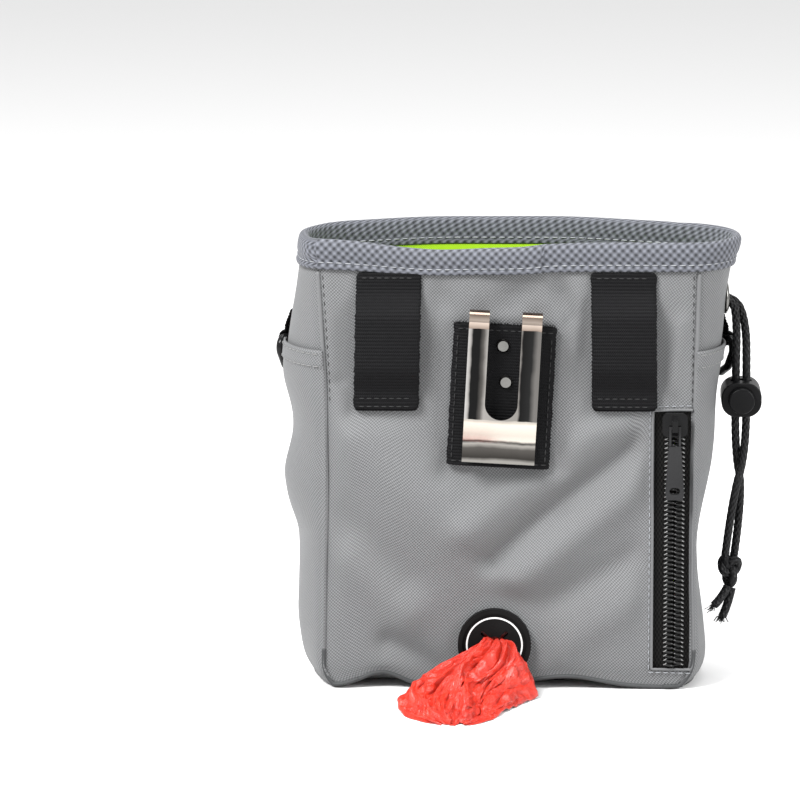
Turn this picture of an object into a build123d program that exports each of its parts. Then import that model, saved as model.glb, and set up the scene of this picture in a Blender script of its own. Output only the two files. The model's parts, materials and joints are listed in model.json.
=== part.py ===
"""Treat pouch: a fabric belt pouch with a treat compartment, a bag-roll compartment behind it
with a zip and a rubber port, a drawcord with a lock, a spring belt clip, belt loops and D-rings.

Millimetres. X runs across the pouch, Y from the clip side (negative) to the front, Z up from the
floor. The origin is on the floor below the middle of the pouch."""

import os
from math import acos, cos, hypot, pi, radians, sin, tan

from build123d import *

os.makedirs("parts", exist_ok=True)

# Pouch walls: (level, half width at the back, half width at the gusset fold, corner y, front y)
LEVELS = (
    (0.0, 70.0, 74.0, 26.0, 33.0),
    (90.0, 70.5, 78.5, 24.0, 36.0),
    (171.5, 71.0, 82.5, 18.0, 33.0),
)
BACK_Y = -31.0
FOLD_Y = -5.0
CORNER_X = 66.0
SHELL = 1.0
LINING = 1.6
RIM = 170.4
BINDING_LOW, BINDING_TOP = 160.3, 171.5
BINDING_OUT, BINDING_IN = 1.2, 2.6
HEM_BASE = 1.0
TALL = 400.0

# Drawcord casing and the cord's way out of the right gusset
CASING_LOW, CASING_HIGH, CASING_DEPTH = 141.0, 153.0, 7.0
CORD_D = 3.2
EYE_Y, EYE_Z, EYE_BORE, EYE_BARREL, EYE_FLANGE = -8.0, 147.0, 3.8, 4.6, 6.4

# Pocket over the front and the gussets
POCKET_TOP, POCKET_CLOTH, POCKET_BULGE = 130.0, 1.2, 9.0

# Zip in the back panel
ZIP_X, ZIP_LOW, ZIP_HIGH = 63.3, 8.0, 107.6
WINDOW_LEFT, WINDOW_RIGHT = 55.0, 69.4

# Port for the bags, low on the back panel
PORT_X, PORT_Z, PORT_HOLE_R, PORT_R = -4.3, 17.6, 10.5, 13.85

# Belt clip and its webbing patch, leaning three degrees
CLIP_LEAN = radians(3.0)
CLIP_Z = 117.2
CLIP_W, ARM_W, LEAF_T = 27.3, 7.5, 1.0
BEND_R, BEND_V = 3.6, 24.9
CLIP = Plane(
    origin=(-1.65, BACK_Y, CLIP_Z),
    x_dir=(cos(CLIP_LEAN), 0, -sin(CLIP_LEAN)),
    z_dir=(0, -1, 0),
)
CLIP_SIDE = Plane(
    origin=(-1.65, BACK_Y, CLIP_Z),
    x_dir=(0, -1, 0),
    z_dir=(-cos(CLIP_LEAN), 0, sin(CLIP_LEAN)),
)
RIVETS = ((-0.46, 15.5), (1.26, 1.77))
RIVET_SHANK_R, RIVET_HEAD_R = 1.3, 2.65

# D-rings on the gussets, behind the fold, yawed with the wall
RING_YAW = 25.0
RING_X, RING_Y, RING_Z = 77.2, 8.0, 129.4
RING_ROD_R, RING_STAND_OFF = 1.6, 3.5

# Cord lock on the two strands
LOCK_X, LOCK_Y, LOCK_Z = 88.8, -8.0, 108.8
LOCK_FRONT, LOCK_BACK, BUTTON_OUT, BORE_END = -8.5, 8.6, -11.5, 7.5
LOCK_HALF_W, LOCK_HALF_H = 7.6, 6.5
STRAND_GAP = 2.05
CORD_END_RUNS = (
    ((83.4, -10.6, 32.0), (80.4, -13.4, 28.8)),
    ((85.6, -7.6, 32.2), (82.8, -9.2, 24.2)),
)

# Waste-bag roll
ROLL_X, ROLL_Y, ROLL_Z, ROLL_R, ROLL_L = -4.0, -12.5, 18.0, 14.0, 60.0


def pouch_solid(inset, bulge=0.0):
    """The pouch's filled volume, inset from its outer surface: straight back, bowed gussets
    and a bowed front."""
    with BuildPart() as solid:
        for z, back_half, fold_half, corner_y, front_y in LEVELS:
            b = (back_half - inset, BACK_Y + inset)
            s = (fold_half - inset, FOLD_Y)
            c = (CORNER_X - inset, corner_y - 0.7 * inset)
            middle = (0, front_y - inset + bulge * z / RIM)
            with BuildSketch(Plane.XY.offset(z)):
                with BuildLine():
                    Line((-b[0], b[1]), b)
                    ThreePointArc(b, s, c)
                    ThreePointArc(c, middle, (-c[0], c[1]))
                    ThreePointArc((-c[0], c[1]), (-s[0], s[1]), (-b[0], b[1]))
                make_face()
        loft()
    return solid.part


def keep_box(x0, x1, y0, y1, z0, z1):
    """Trims the part being built to one box."""
    with Locations(((x0 + x1) / 2, (y0 + y1) / 2, (z0 + z1) / 2)):
        Box(x1 - x0, y1 - y0, z1 - z0, mode=Mode.INTERSECT)


def cut_box(x0, x1, y0, y1, z0, z1):
    """Removes one box from the part being built."""
    with Locations(((x0 + x1) / 2, (y0 + y1) / 2, (z0 + z1) / 2)):
        Box(x1 - x0, y1 - y0, z1 - z0, mode=Mode.SUBTRACT)


def wall(out_inset, in_inset, z0, z1, y0=-60.0, bulge=0.0):
    """A closed layer of the pouch wall between two insets and two levels."""
    with BuildPart() as layer:
        add(pouch_solid(out_inset, bulge))
        add(pouch_solid(in_inset, bulge), mode=Mode.SUBTRACT)
        keep_box(-TALL, TALL, y0, 60, z0, z1)
    return layer.part


def cut_eye(radius):
    """The round hole for the cord through the right gusset."""
    with Locations(Location((80, EYE_Y, EYE_Z), (0, 90, 0))):
        Cylinder(radius, 40, mode=Mode.SUBTRACT)


def save(part, label):
    """Names one finished piece and writes its file."""
    part.label = label
    export_step(part, f"parts/{label}.step")
    print(f"{label}: {len(part.solids())} solid, {part.volume:.0f} mm3")


outer = pouch_solid(0.0)
inside_shell = pouch_solid(SHELL)
inside_lining = pouch_solid(LINING)

# Outer fabric --------------------------------------------------------------------------------

with BuildPart() as back_panel:
    add(outer)
    add(inside_shell, mode=Mode.SUBTRACT)
    keep_box(-TALL, TALL, BACK_Y - 1, BACK_Y + SHELL, HEM_BASE, RIM)
    cut_box(WINDOW_LEFT, WINDOW_RIGHT, BACK_Y - 1, BACK_Y + 2, ZIP_LOW, ZIP_HIGH)
    with BuildSketch(Plane.XZ.offset(-BACK_Y + 5)):
        with Locations((PORT_X, PORT_Z)):
            Circle(PORT_HOLE_R)
    extrude(amount=-12, mode=Mode.SUBTRACT)
    with BuildSketch(CLIP.offset(-5)):
        with Locations(*RIVETS):
            Circle(RIVET_SHANK_R)
    extrude(amount=10, mode=Mode.SUBTRACT)
save(back_panel.part, "back_panel")

with BuildPart() as front_panel:
    add(outer)
    add(inside_shell, mode=Mode.SUBTRACT)
    keep_box(-CORNER_X, CORNER_X, 0, 60, HEM_BASE, RIM)
save(front_panel.part, "front_panel")

with BuildPart() as left_side_panel:
    add(outer)
    add(inside_shell, mode=Mode.SUBTRACT)
    keep_box(-TALL, -CORNER_X, BACK_Y + SHELL, 60, HEM_BASE, RIM)
save(left_side_panel.part, "left_side_panel")

with BuildPart() as right_side_panel:
    add(outer)
    add(inside_shell, mode=Mode.SUBTRACT)
    keep_box(CORNER_X, TALL, BACK_Y + SHELL, 60, HEM_BASE, RIM)
    cut_eye(EYE_BARREL)
save(right_side_panel.part, "right_side_panel")

with BuildPart() as base_panel:
    add(outer)
    keep_box(-TALL, TALL, -60, 60, 0, HEM_BASE)
save(base_panel.part, "base_panel")

# Lining --------------------------------------------------------------------------------------

with BuildPart() as lining_base:
    add(inside_shell)
    keep_box(-TALL, TALL, BACK_Y + LINING, 60, HEM_BASE, LINING)
save(lining_base.part, "lining_base")

with BuildPart() as lining_front:
    add(inside_shell)
    add(inside_lining, mode=Mode.SUBTRACT)
    keep_box(-CORNER_X + 1, CORNER_X - 1, 0, 60, LINING, RIM)
save(lining_front.part, "lining_front")

with BuildPart() as lining_left:
    add(inside_shell)
    add(inside_lining, mode=Mode.SUBTRACT)
    keep_box(-TALL, -CORNER_X + 1, BACK_Y + LINING, 60, LINING, RIM)
save(lining_left.part, "lining_left")

with BuildPart() as lining_right:
    add(inside_shell)
    add(inside_lining, mode=Mode.SUBTRACT)
    keep_box(CORNER_X - 1, TALL, BACK_Y + LINING, 60, LINING, RIM)
    cut_eye(EYE_BARREL)
save(lining_right.part, "lining_right")

side_lining = wall(SHELL, LINING, LINING, RIM, BACK_Y + LINING)

with BuildPart() as divider_panel:
    with BuildSketch(Plane.YZ.offset(-90)):
        with BuildLine():
            Polyline(
                (2.4, LINING),
                (2.4, 36.0),
                (BACK_Y + SHELL, 140.0),
                (BACK_Y + SHELL, RIM),
                (BACK_Y + LINING, RIM),
                (BACK_Y + LINING, 140.2),
                (3.2, 36.2),
                (3.2, LINING),
                close=True,
            )
        make_face()
    extrude(amount=180)
    add(inside_shell, mode=Mode.INTERSECT)
    add(side_lining, mode=Mode.SUBTRACT)
save(divider_panel.part, "divider_panel")

# Rim binding and drawcord casing -------------------------------------------------------------

covered_rim = wall(0.0, LINING, 0, RIM)

with BuildPart() as rim_binding:
    add(wall(-BINDING_OUT, BINDING_IN, BINDING_LOW, BINDING_TOP))
    add(covered_rim, mode=Mode.SUBTRACT)
save(rim_binding.part, "rim_binding")

tunnel = wall(LINING, CASING_DEPTH - 0.6, CASING_LOW + 0.6, CASING_HIGH - 0.6)

with BuildPart() as drawcord_casing:
    add(wall(LINING, CASING_DEPTH, CASING_LOW, CASING_HIGH))
    add(tunnel, mode=Mode.SUBTRACT)
save(drawcord_casing.part, "drawcord_casing")

with BuildPart() as drawcord_loop:
    add(wall(2.6, 5.8, EYE_Z - CORD_D / 2, EYE_Z + CORD_D / 2))
save(drawcord_loop.part, "drawcord_loop")

eye_barrel = wall(0.0, LINING, EYE_Z - 12, EYE_Z + 12)


def eye_tube():
    """The eyelet's barrel, as deep as the shell and lining together."""
    with BuildPart() as tube:
        with BuildSketch(Plane.YZ.offset(60)):
            with Locations((EYE_Y, EYE_Z)):
                Circle(EYE_BARREL)
        extrude(amount=40)
        add(eye_barrel, mode=Mode.INTERSECT)
    return tube.part


eye_flange = wall(-1.0, 0.0, EYE_Z - 12, EYE_Z + 12)

with BuildPart() as cord_eyelet:
    with BuildSketch(Plane.YZ.offset(60)):
        with Locations((EYE_Y, EYE_Z)):
            Circle(EYE_FLANGE)
    extrude(amount=40)
    add(eye_flange, mode=Mode.INTERSECT)
    add(eye_tube(), mode=Mode.ADD)
    cut_eye(EYE_BORE)
save(cord_eyelet.part, "cord_eyelet")

# Pocket over the front and the gussets -------------------------------------------------------

pocket_wrap = wall(-POCKET_CLOTH, 0.0, HEM_BASE, POCKET_TOP)

with BuildPart() as pocket_left_side:
    add(pocket_wrap)
    keep_box(-TALL, -CORNER_X - 1, BACK_Y + SHELL, 60, HEM_BASE, POCKET_TOP)
save(pocket_left_side.part, "pocket_left_side")

with BuildPart() as pocket_right_side:
    add(pocket_wrap)
    keep_box(CORNER_X + 1, TALL, BACK_Y + SHELL, 60, HEM_BASE, POCKET_TOP)
save(pocket_right_side.part, "pocket_right_side")

with BuildPart() as pocket_front:
    add(wall(-POCKET_CLOTH, 0.0, HEM_BASE, POCKET_TOP, 0.0, POCKET_BULGE))
    keep_box(-CORNER_X - 1, CORNER_X + 1, 0, 60, HEM_BASE, POCKET_TOP)
    add(outer, mode=Mode.SUBTRACT)
save(pocket_front.part, "pocket_front")

# Belt loops ----------------------------------------------------------------------------------


def belt_loop(x0, x1):
    """Webbing sewn flat at the top and folded at the bottom, bowed out between."""
    with BuildPart() as loop:
        with BuildSketch(Plane.YZ.offset(x0)):
            with BuildLine():
                FilletPolyline(
                    (BACK_Y - 1.6, 160.2),
                    (BACK_Y - 1.6, 152.0),
                    (BACK_Y - 6.4, 143.5),
                    (BACK_Y - 6.4, 124.0),
                    (BACK_Y - 3.4, 115.0),
                    (BACK_Y - 3.4, 107.2),
                    radius=6,
                )
                Line((BACK_Y - 3.4, 107.2), (BACK_Y, 107.2))
                Line((BACK_Y, 107.2), (BACK_Y, 160.2))
                Line((BACK_Y, 160.2), (BACK_Y - 1.6, 160.2))
            make_face()
            with BuildLine():
                FilletPolyline(
                    (BACK_Y, 151.4),
                    (BACK_Y - 4.9, 142.7),
                    (BACK_Y - 4.9, 124.2),
                    (BACK_Y, 115.6),
                    radius=5,
                )
                Line((BACK_Y, 115.6), (BACK_Y, 151.4))
            make_face(mode=Mode.SUBTRACT)
        extrude(amount=x1 - x0)
    return loop.part


save(belt_loop(-57.1, -32.4), "left_belt_loop")
save(belt_loop(31.7, 56.4), "right_belt_loop")

# Clip patch, clip and rivets -----------------------------------------------------------------

with BuildPart() as clip_patch:
    with BuildSketch(CLIP):
        with Locations((0, -3.9)):
            RectangleRounded(39.0, 54.6, 0.8)
    extrude(amount=3.4)
    with BuildSketch(CLIP.offset(1.1)):
        with Locations((0, -0.8)):
            Rectangle(CLIP_W + 0.4, 52.4)
    extrude(amount=1.2, mode=Mode.SUBTRACT)
    with BuildSketch(CLIP):
        with Locations(*RIVETS):
            Circle(RIVET_SHANK_R)
    extrude(amount=4, mode=Mode.SUBTRACT)
save(clip_patch.part, "clip_patch")

with BuildPart() as clip_back_leaf:
    with BuildSketch(CLIP.offset(1.2)):
        with BuildLine():
            Polyline(
                (-CLIP_W / 2, -26.0),
                (CLIP_W / 2, -26.0),
                (CLIP_W / 2, BEND_V - 0.1),
                (CLIP_W / 2 - ARM_W, BEND_V - 0.1),
                (CLIP_W / 2 - ARM_W, 23.0),
                (0, 20.6),
                (ARM_W - CLIP_W / 2, 23.0),
                (ARM_W - CLIP_W / 2, BEND_V - 0.1),
                (-CLIP_W / 2, BEND_V - 0.1),
                close=True,
            )
        make_face()
        with Locations(*RIVETS):
            Circle(RIVET_SHANK_R, mode=Mode.SUBTRACT)
    extrude(amount=LEAF_T)
save(clip_back_leaf.part, "clip_back_leaf")

with BuildPart() as clip_front_leaf:
    near = 1.2
    far = near + 2 * BEND_R + LEAF_T
    with BuildSketch(CLIP_SIDE):
        with BuildLine():
            Polyline((far, BEND_V), (far - 0.2, -12.5), (5.1, -21.3), (7.9, -28.6))
            Line((7.9, -28.6), (6.95, -28.95))
            Polyline((6.95, -28.95), (4.0, -21.2), (far - 1.2, -12.8), (far - 1.0, BEND_V))
            ThreePointArc(
                (far - 1.0, BEND_V),
                (near + LEAF_T / 2 + BEND_R, BEND_V + BEND_R - LEAF_T / 2),
                (near + LEAF_T, BEND_V),
            )
            Line((near + LEAF_T, BEND_V), (near, BEND_V))
            ThreePointArc(
                (near, BEND_V),
                (near + LEAF_T / 2 + BEND_R, BEND_V + BEND_R + LEAF_T / 2),
                (far, BEND_V),
            )
        make_face()
    extrude(amount=CLIP_W / 2, both=True)
    with BuildSketch(CLIP.offset(-2)):
        with Locations((0, -5.75)):
            Circle(CLIP_W / 2 - ARM_W)
        with Locations((0, 17.25)):
            Rectangle(CLIP_W - 2 * ARM_W, 46.0)
    extrude(amount=16, mode=Mode.SUBTRACT)
save(clip_front_leaf.part, "clip_front_leaf")

with BuildPart() as clip_rivets:
    for u, v in RIVETS:
        with BuildSketch(CLIP.offset(-1.9)):
            with Locations((u, v)):
                Circle(3.0)
        extrude(amount=0.9)
        with BuildSketch(CLIP.offset(-1.0)):
            with Locations((u, v)):
                Circle(RIVET_SHANK_R)
        extrude(amount=4.4)
        with BuildSketch(CLIP.offset(3.4)):
            with Locations((u, v)):
                Circle(RIVET_HEAD_R)
        extrude(amount=1.2, taper=30)
save(clip_rivets.part, "clip_rivets")

# Zip -----------------------------------------------------------------------------------------

with BuildPart() as zip_tape_left:
    with Locations((57.9, BACK_Y + SHELL + 0.3, 57.5)):
        Box(9.8, 0.6, 101.0)
save(zip_tape_left.part, "zip_tape_left")

with BuildPart() as zip_tape_right:
    with Locations((66.5, BACK_Y + SHELL + 0.3, 57.5)):
        Box(5.4, 0.6, 101.0)
    add(inside_shell, mode=Mode.INTERSECT)
    add(side_lining, mode=Mode.SUBTRACT)
save(zip_tape_right.part, "zip_tape_right")


def zip_coil(side):
    """One row of the coil, standing on its tape."""
    with BuildPart() as coil:
        with BuildSketch(Plane.XY.offset(ZIP_LOW + 1)):
            with Locations((ZIP_X + side * 2.0, BACK_Y + SHELL - 1.1)):
                RectangleRounded(3.0, 2.2, 0.8)
        extrude(amount=ZIP_HIGH - ZIP_LOW - 2)
    return coil.part


save(zip_coil(-1), "zip_coil_left")
save(zip_coil(1), "zip_coil_right")

with BuildPart() as zip_slider:
    with BuildSketch(Plane.XZ.offset(32.6)):
        with Locations((ZIP_X, 102.6)):
            RectangleRounded(9.5, 9.0, 2.0)
    extrude(amount=1.5)
    with BuildSketch(Plane.XZ.offset(30.6)):
        with Locations((ZIP_X - 4.3, 102.6), (ZIP_X + 4.3, 102.6)):
            Rectangle(0.9, 5.0)
    extrude(amount=2.0)
    with BuildSketch(Plane.XZ.offset(27.9)):
        with Locations((ZIP_X, 102.6)):
            RectangleRounded(7.4, 8.0, 1.5)
    extrude(amount=1.1)
    with Locations((ZIP_X, -30.8, 102.6)):
        Box(0.7, 4.0, 8.0)
    with BuildSketch(Plane.YZ.offset(ZIP_X - 1.1)):
        with BuildLine():
            Polyline(
                (-34.1, 98.8),
                (-35.4, 98.8),
                (-37.0, 100.2),
                (-37.0, 104.4),
                (-34.1, 106.4),
                close=True,
            )
        make_face()
        with Locations((-35.2, 101.4)):
            SlotOverall(3.2, 1.5, rotation=90, mode=Mode.SUBTRACT)
    extrude(amount=2.2)
save(zip_slider.part, "zip_slider")

with BuildPart() as zip_pull:
    with BuildSketch(Plane.XZ.offset(34.6)):
        with BuildLine():
            Polyline(
                (ZIP_X - 2.2, 94.6),
                (ZIP_X + 2.2, 94.6),
                (ZIP_X + 2.5, 92.0),
                (ZIP_X + 3.5, 77.0),
                (ZIP_X + 3.1, 74.2),
                (ZIP_X - 3.1, 74.2),
                (ZIP_X - 3.5, 77.0),
                (ZIP_X - 2.5, 92.0),
                close=True,
            )
        make_face()
        with Locations((ZIP_X, 77.6)):
            SlotOverall(4.0, 2.6, mode=Mode.SUBTRACT)
    extrude(amount=1.5)
    for side in (-1, 1):
        with Locations((ZIP_X + side * 1.8, -35.2, 98.0)):
            Box(0.8, 1.0, 8.2)
    with BuildSketch(Plane.YZ.offset(ZIP_X - 2.2)):
        with Locations((-35.2, 101.6)):
            Circle(0.5)
    extrude(amount=4.4)
save(zip_pull.part, "zip_pull")

# Port and bags -------------------------------------------------------------------------------

with BuildPart() as port_grommet:
    with BuildSketch(Plane.XZ.offset(-BACK_Y)):
        with Locations((PORT_X, PORT_Z)):
            Circle(PORT_R)
    extrude(amount=3.0)
    with BuildSketch(Plane.XZ.offset(-BACK_Y + 2.2)):
        with Locations((PORT_X, PORT_Z)):
            Circle(PORT_R - 1.7)
    extrude(amount=2.0, mode=Mode.SUBTRACT)
    with BuildSketch(Plane.XZ.offset(-BACK_Y - 1.0)):
        with Locations((PORT_X, PORT_Z)):
            Circle(PORT_HOLE_R)
    extrude(amount=1.0)
    with BuildSketch(Plane.XZ.offset(-BACK_Y - 2.2)):
        with Locations((PORT_X, PORT_Z)):
            Circle(12.5)
    extrude(amount=1.2)
    with BuildSketch(Plane.XZ.offset(-BACK_Y - 4)):
        with Locations((PORT_X, PORT_Z)):
            Circle(3.25)
            SlotOverall(14.0, 1.6, rotation=45)
            SlotOverall(14.0, 1.6, rotation=135)
    extrude(amount=8.0, mode=Mode.SUBTRACT)
    with BuildSketch(Plane.XZ.offset(-BACK_Y + 1.9)):
        with Locations((PORT_X, PORT_Z)):
            Circle(10.75)
            Circle(10.15, mode=Mode.SUBTRACT)
    extrude(amount=1.0, mode=Mode.SUBTRACT)
save(port_grommet.part, "port_grommet")

with BuildPart() as port_ring:
    with BuildSketch(Plane.XZ.offset(-BACK_Y + 1.9)):
        with Locations((PORT_X, PORT_Z)):
            Circle(10.75)
            Circle(10.15, mode=Mode.SUBTRACT)
    extrude(amount=0.35)
save(port_ring.part, "port_ring")


with BuildPart() as bag_roll:
    with BuildSketch(Plane.YZ.offset(ROLL_X - ROLL_L / 2)):
        with Locations((ROLL_Y, ROLL_Z)):
            Circle(ROLL_R)
            Circle(6.5, mode=Mode.SUBTRACT)
    extrude(amount=ROLL_L)
save(bag_roll.part, "bag_roll")

with BuildPart() as roll_core:
    with BuildSketch(Plane.YZ.offset(ROLL_X - ROLL_L / 2)):
        with Locations((ROLL_Y, ROLL_Z)):
            Circle(6.5)
            Circle(5.2, mode=Mode.SUBTRACT)
    extrude(amount=ROLL_L)
save(roll_core.part, "roll_core")

with BuildPart() as bag_tail:
    with BuildSketch(Plane.YZ.offset(-60)):
        with BuildLine():
            FilletPolyline(
                (-27.0, PORT_Z + 0.9),
                (-42.0, PORT_Z + 0.9),
                (-60.0, 7.0),
                (-90.0, 2.4),
                radius=12,
            )
            Line((-90.0, 2.4), (-90.0, 0.4))
            FilletPolyline(
                (-90.0, 0.4),
                (-61.0, 4.6),
                (-43.0, PORT_Z - 0.9),
                (-27.0, PORT_Z - 0.9),
                radius=12,
            )
            Line((-27.0, PORT_Z - 0.9), (-27.0, PORT_Z + 0.9))
        make_face()
    extrude(amount=120)
    with BuildSketch():
        with BuildLine():
            Polyline(
                (PORT_X - 2.7, -26.0),
                (PORT_X - 2.7, -36.5),
                (-33.0, -52.0),
                (-40.0, -68.0),
                (-37.0, -86.0),
                (-12.0, -90.0),
                (8.0, -84.0),
                (13.0, -66.0),
                (8.0, -50.0),
                (PORT_X + 2.7, -36.5),
                (PORT_X + 2.7, -26.0),
                close=True,
            )
        make_face()
    extrude(amount=60, mode=Mode.INTERSECT)
save(bag_tail.part, "bag_tail")

# D-rings and their tabs ----------------------------------------------------------------------


def ring_frame(side):
    """A plane at the ring's bar: local x along the bar, local y up, normal out of the gusset."""
    yaw = radians(RING_YAW)
    out = (side * cos(yaw), sin(yaw), 0)
    return Plane(
        origin=(
            side * RING_X + RING_STAND_OFF * out[0],
            RING_Y + RING_STAND_OFF * out[1],
            RING_Z,
        ),
        x_dir=(-out[1], out[0], 0),
        z_dir=out,
    )


def d_ring(side):
    """A moulded ring with a straight bar at the top."""
    frame = ring_frame(side)
    with BuildPart() as ring:
        with BuildLine(frame) as path:
            FilletPolyline(
                (-13.0, 0),
                (13.0, 0),
                (13.0, -4.6),
                (8.8, -10.8),
                (3.2, -13.8),
                (-3.2, -13.8),
                (-8.8, -10.8),
                (-13.0, -4.6),
                radius=3.2,
                close=True,
            )
        with BuildSketch(Plane(origin=path.line @ 0.1, z_dir=path.line % 0.1)):
            Circle(RING_ROD_R)
        sweep()
    return ring.part


def ring_tab(side):
    """Webbing folded round the bar and sewn to the gusset above the pocket's hem."""
    frame = ring_frame(side)
    with BuildPart() as tab:
        with BuildSketch(frame.offset(-RING_STAND_OFF - 2)):
            with Locations((0, 6.6)):
                Rectangle(19.2, 9.4)
        extrude(amount=RING_STAND_OFF + 3.6)
        with BuildSketch(Plane(origin=frame.origin, x_dir=frame.z_dir, z_dir=frame.x_dir)):
            Circle(3.1)
        extrude(amount=9.6, both=True)
        with BuildSketch(Plane(origin=frame.origin, x_dir=frame.z_dir, z_dir=frame.x_dir)):
            Circle(RING_ROD_R + 0.08)
        extrude(amount=12, both=True, mode=Mode.SUBTRACT)
        add(outer, mode=Mode.SUBTRACT)
        add(pocket_wrap, mode=Mode.SUBTRACT)
    return tab.part


save(d_ring(-1), "left_d_ring")
save(d_ring(1), "right_d_ring")
save(ring_tab(-1), "left_ring_tab")
save(ring_tab(1), "right_ring_tab")

# Cord lock -----------------------------------------------------------------------------------

with BuildPart() as cord_lock_body:
    with BuildSketch(Plane.XZ.offset(-LOCK_Y - LOCK_FRONT)):
        with Locations((LOCK_X, LOCK_Z)):
            RectangleRounded(2 * LOCK_HALF_W, 2 * LOCK_HALF_H, 5.6)
    extrude(amount=LOCK_FRONT - LOCK_BACK)
    fillet(cord_lock_body.faces().sort_by(Axis.Y)[-1].edges(), 1.0)
    fillet(cord_lock_body.faces().sort_by(Axis.Y)[0].edges(), 0.6)
    with BuildSketch(Plane.XZ.offset(-LOCK_Y - LOCK_FRONT)):
        with Locations((LOCK_X, LOCK_Z)):
            Circle(5.03)
    extrude(amount=LOCK_FRONT - BORE_END, mode=Mode.SUBTRACT)
    with Locations((LOCK_X, LOCK_Y, LOCK_Z)):
        Box(8.0, 4.0, 20, mode=Mode.SUBTRACT)
save(cord_lock_body.part, "cord_lock_body")

with BuildPart() as cord_lock_button:
    with BuildSketch(Plane.XZ.offset(-LOCK_Y - BUTTON_OUT)):
        with Locations((LOCK_X, LOCK_Z)):
            Circle(4.95)
    extrude(amount=BUTTON_OUT - 3.2)
    fillet(cord_lock_button.faces().sort_by(Axis.Y)[0].edges(), 0.8)
    with Locations((LOCK_X, LOCK_Y - 1.5, LOCK_Z)):
        Box(8.0, 7.0, 20, mode=Mode.SUBTRACT)
save(cord_lock_button.part, "cord_lock_button")

with BuildPart() as cord_lock_spring:
    with BuildLine() as coil_path:
        Helix(
            pitch=1.2,
            height=3.3,
            radius=3.2,
            center=(LOCK_X, LOCK_Y + 3.7, LOCK_Z),
            direction=(0, 1, 0),
        )
    with BuildSketch(Plane(origin=coil_path.line @ 0, z_dir=coil_path.line % 0)):
        Circle(0.35)
    sweep(is_frenet=True)
save(cord_lock_spring.part, "cord_lock_spring")

# Cords ---------------------------------------------------------------------------------------


def turn_radii(points):
    """Fillet radii that use 0.45 of the shorter run beside each turn."""
    radii = []
    for a, b, c in zip(points, points[1:], points[2:]):
        p = [b[i] - a[i] for i in range(3)]
        q = [c[i] - b[i] for i in range(3)]
        lp, lq = hypot(*p), hypot(*q)
        turn = acos(sum(i * j for i, j in zip(p, q)) / (lp * lq))
        radii.append(0.45 * min(lp, lq) / tan(turn / 2))
    return radii


def cord(points, label):
    """A round cord along straight runs joined by tangent arcs."""
    radii = turn_radii(points)
    with BuildPart() as tube:
        with BuildLine() as path:
            FilletPolyline(*points, radius=radii)
        with BuildSketch(Plane(origin=path.line @ 0, z_dir=path.line % 0)):
            Circle(CORD_D / 2)
        sweep()
    length = path.wires()[0].length
    expected = pi * CORD_D**2 / 4 * length
    print(f"{label} radii {[round(r, 1) for r in radii]} length {length:.1f}")
    print(f"{label} volume over section x length {tube.part.volume / expected:.4f}")
    save(tube.part, label)


cord(
    [
        (79.2, -9.8, 147.2),
        (85.6, -9.8, 147.0),
        (87.0, -10.2, 136.5),
        (LOCK_X - STRAND_GAP, LOCK_Y, 119.0),
        (LOCK_X - STRAND_GAP, LOCK_Y, 87.0),
        (90.2, -1.8, 71.0),
        (86.9, -6.2, 47.4),
    ],
    "drawcord_strand_front",
)
cord(
    [
        (79.2, -6.2, 147.2),
        (86.6, -6.2, 147.0),
        (90.6, -5.8, 136.5),
        (LOCK_X + STRAND_GAP, LOCK_Y, 119.0),
        (LOCK_X + STRAND_GAP, LOCK_Y, 87.0),
        (85.8, -14.2, 71.0),
        (83.3, -9.8, 47.4),
    ],
    "drawcord_strand_rear",
)

with BuildPart() as cord_knot:
    with Locations((85.1, -8.0, 40.2)):
        Cylinder(4.75, 14.0)
    fillet(cord_knot.edges(), 4.2)
save(cord_knot.part, "cord_knot")

with BuildPart() as cord_ends:
    for start, end in CORD_END_RUNS:
        run = [end[i] - start[i] for i in range(3)]
        with BuildSketch(Plane(origin=start, z_dir=run)):
            Circle(CORD_D / 2)
        extrude(amount=hypot(*run))
save(cord_ends.part, "cord_ends")
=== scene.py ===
"""Looks for the treat pouch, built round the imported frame. Shapes are worked out in millimetres
in the frame's axes (X across, Y from the clip side to the front, Z up) and stored in metres."""

import json
import math

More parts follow.
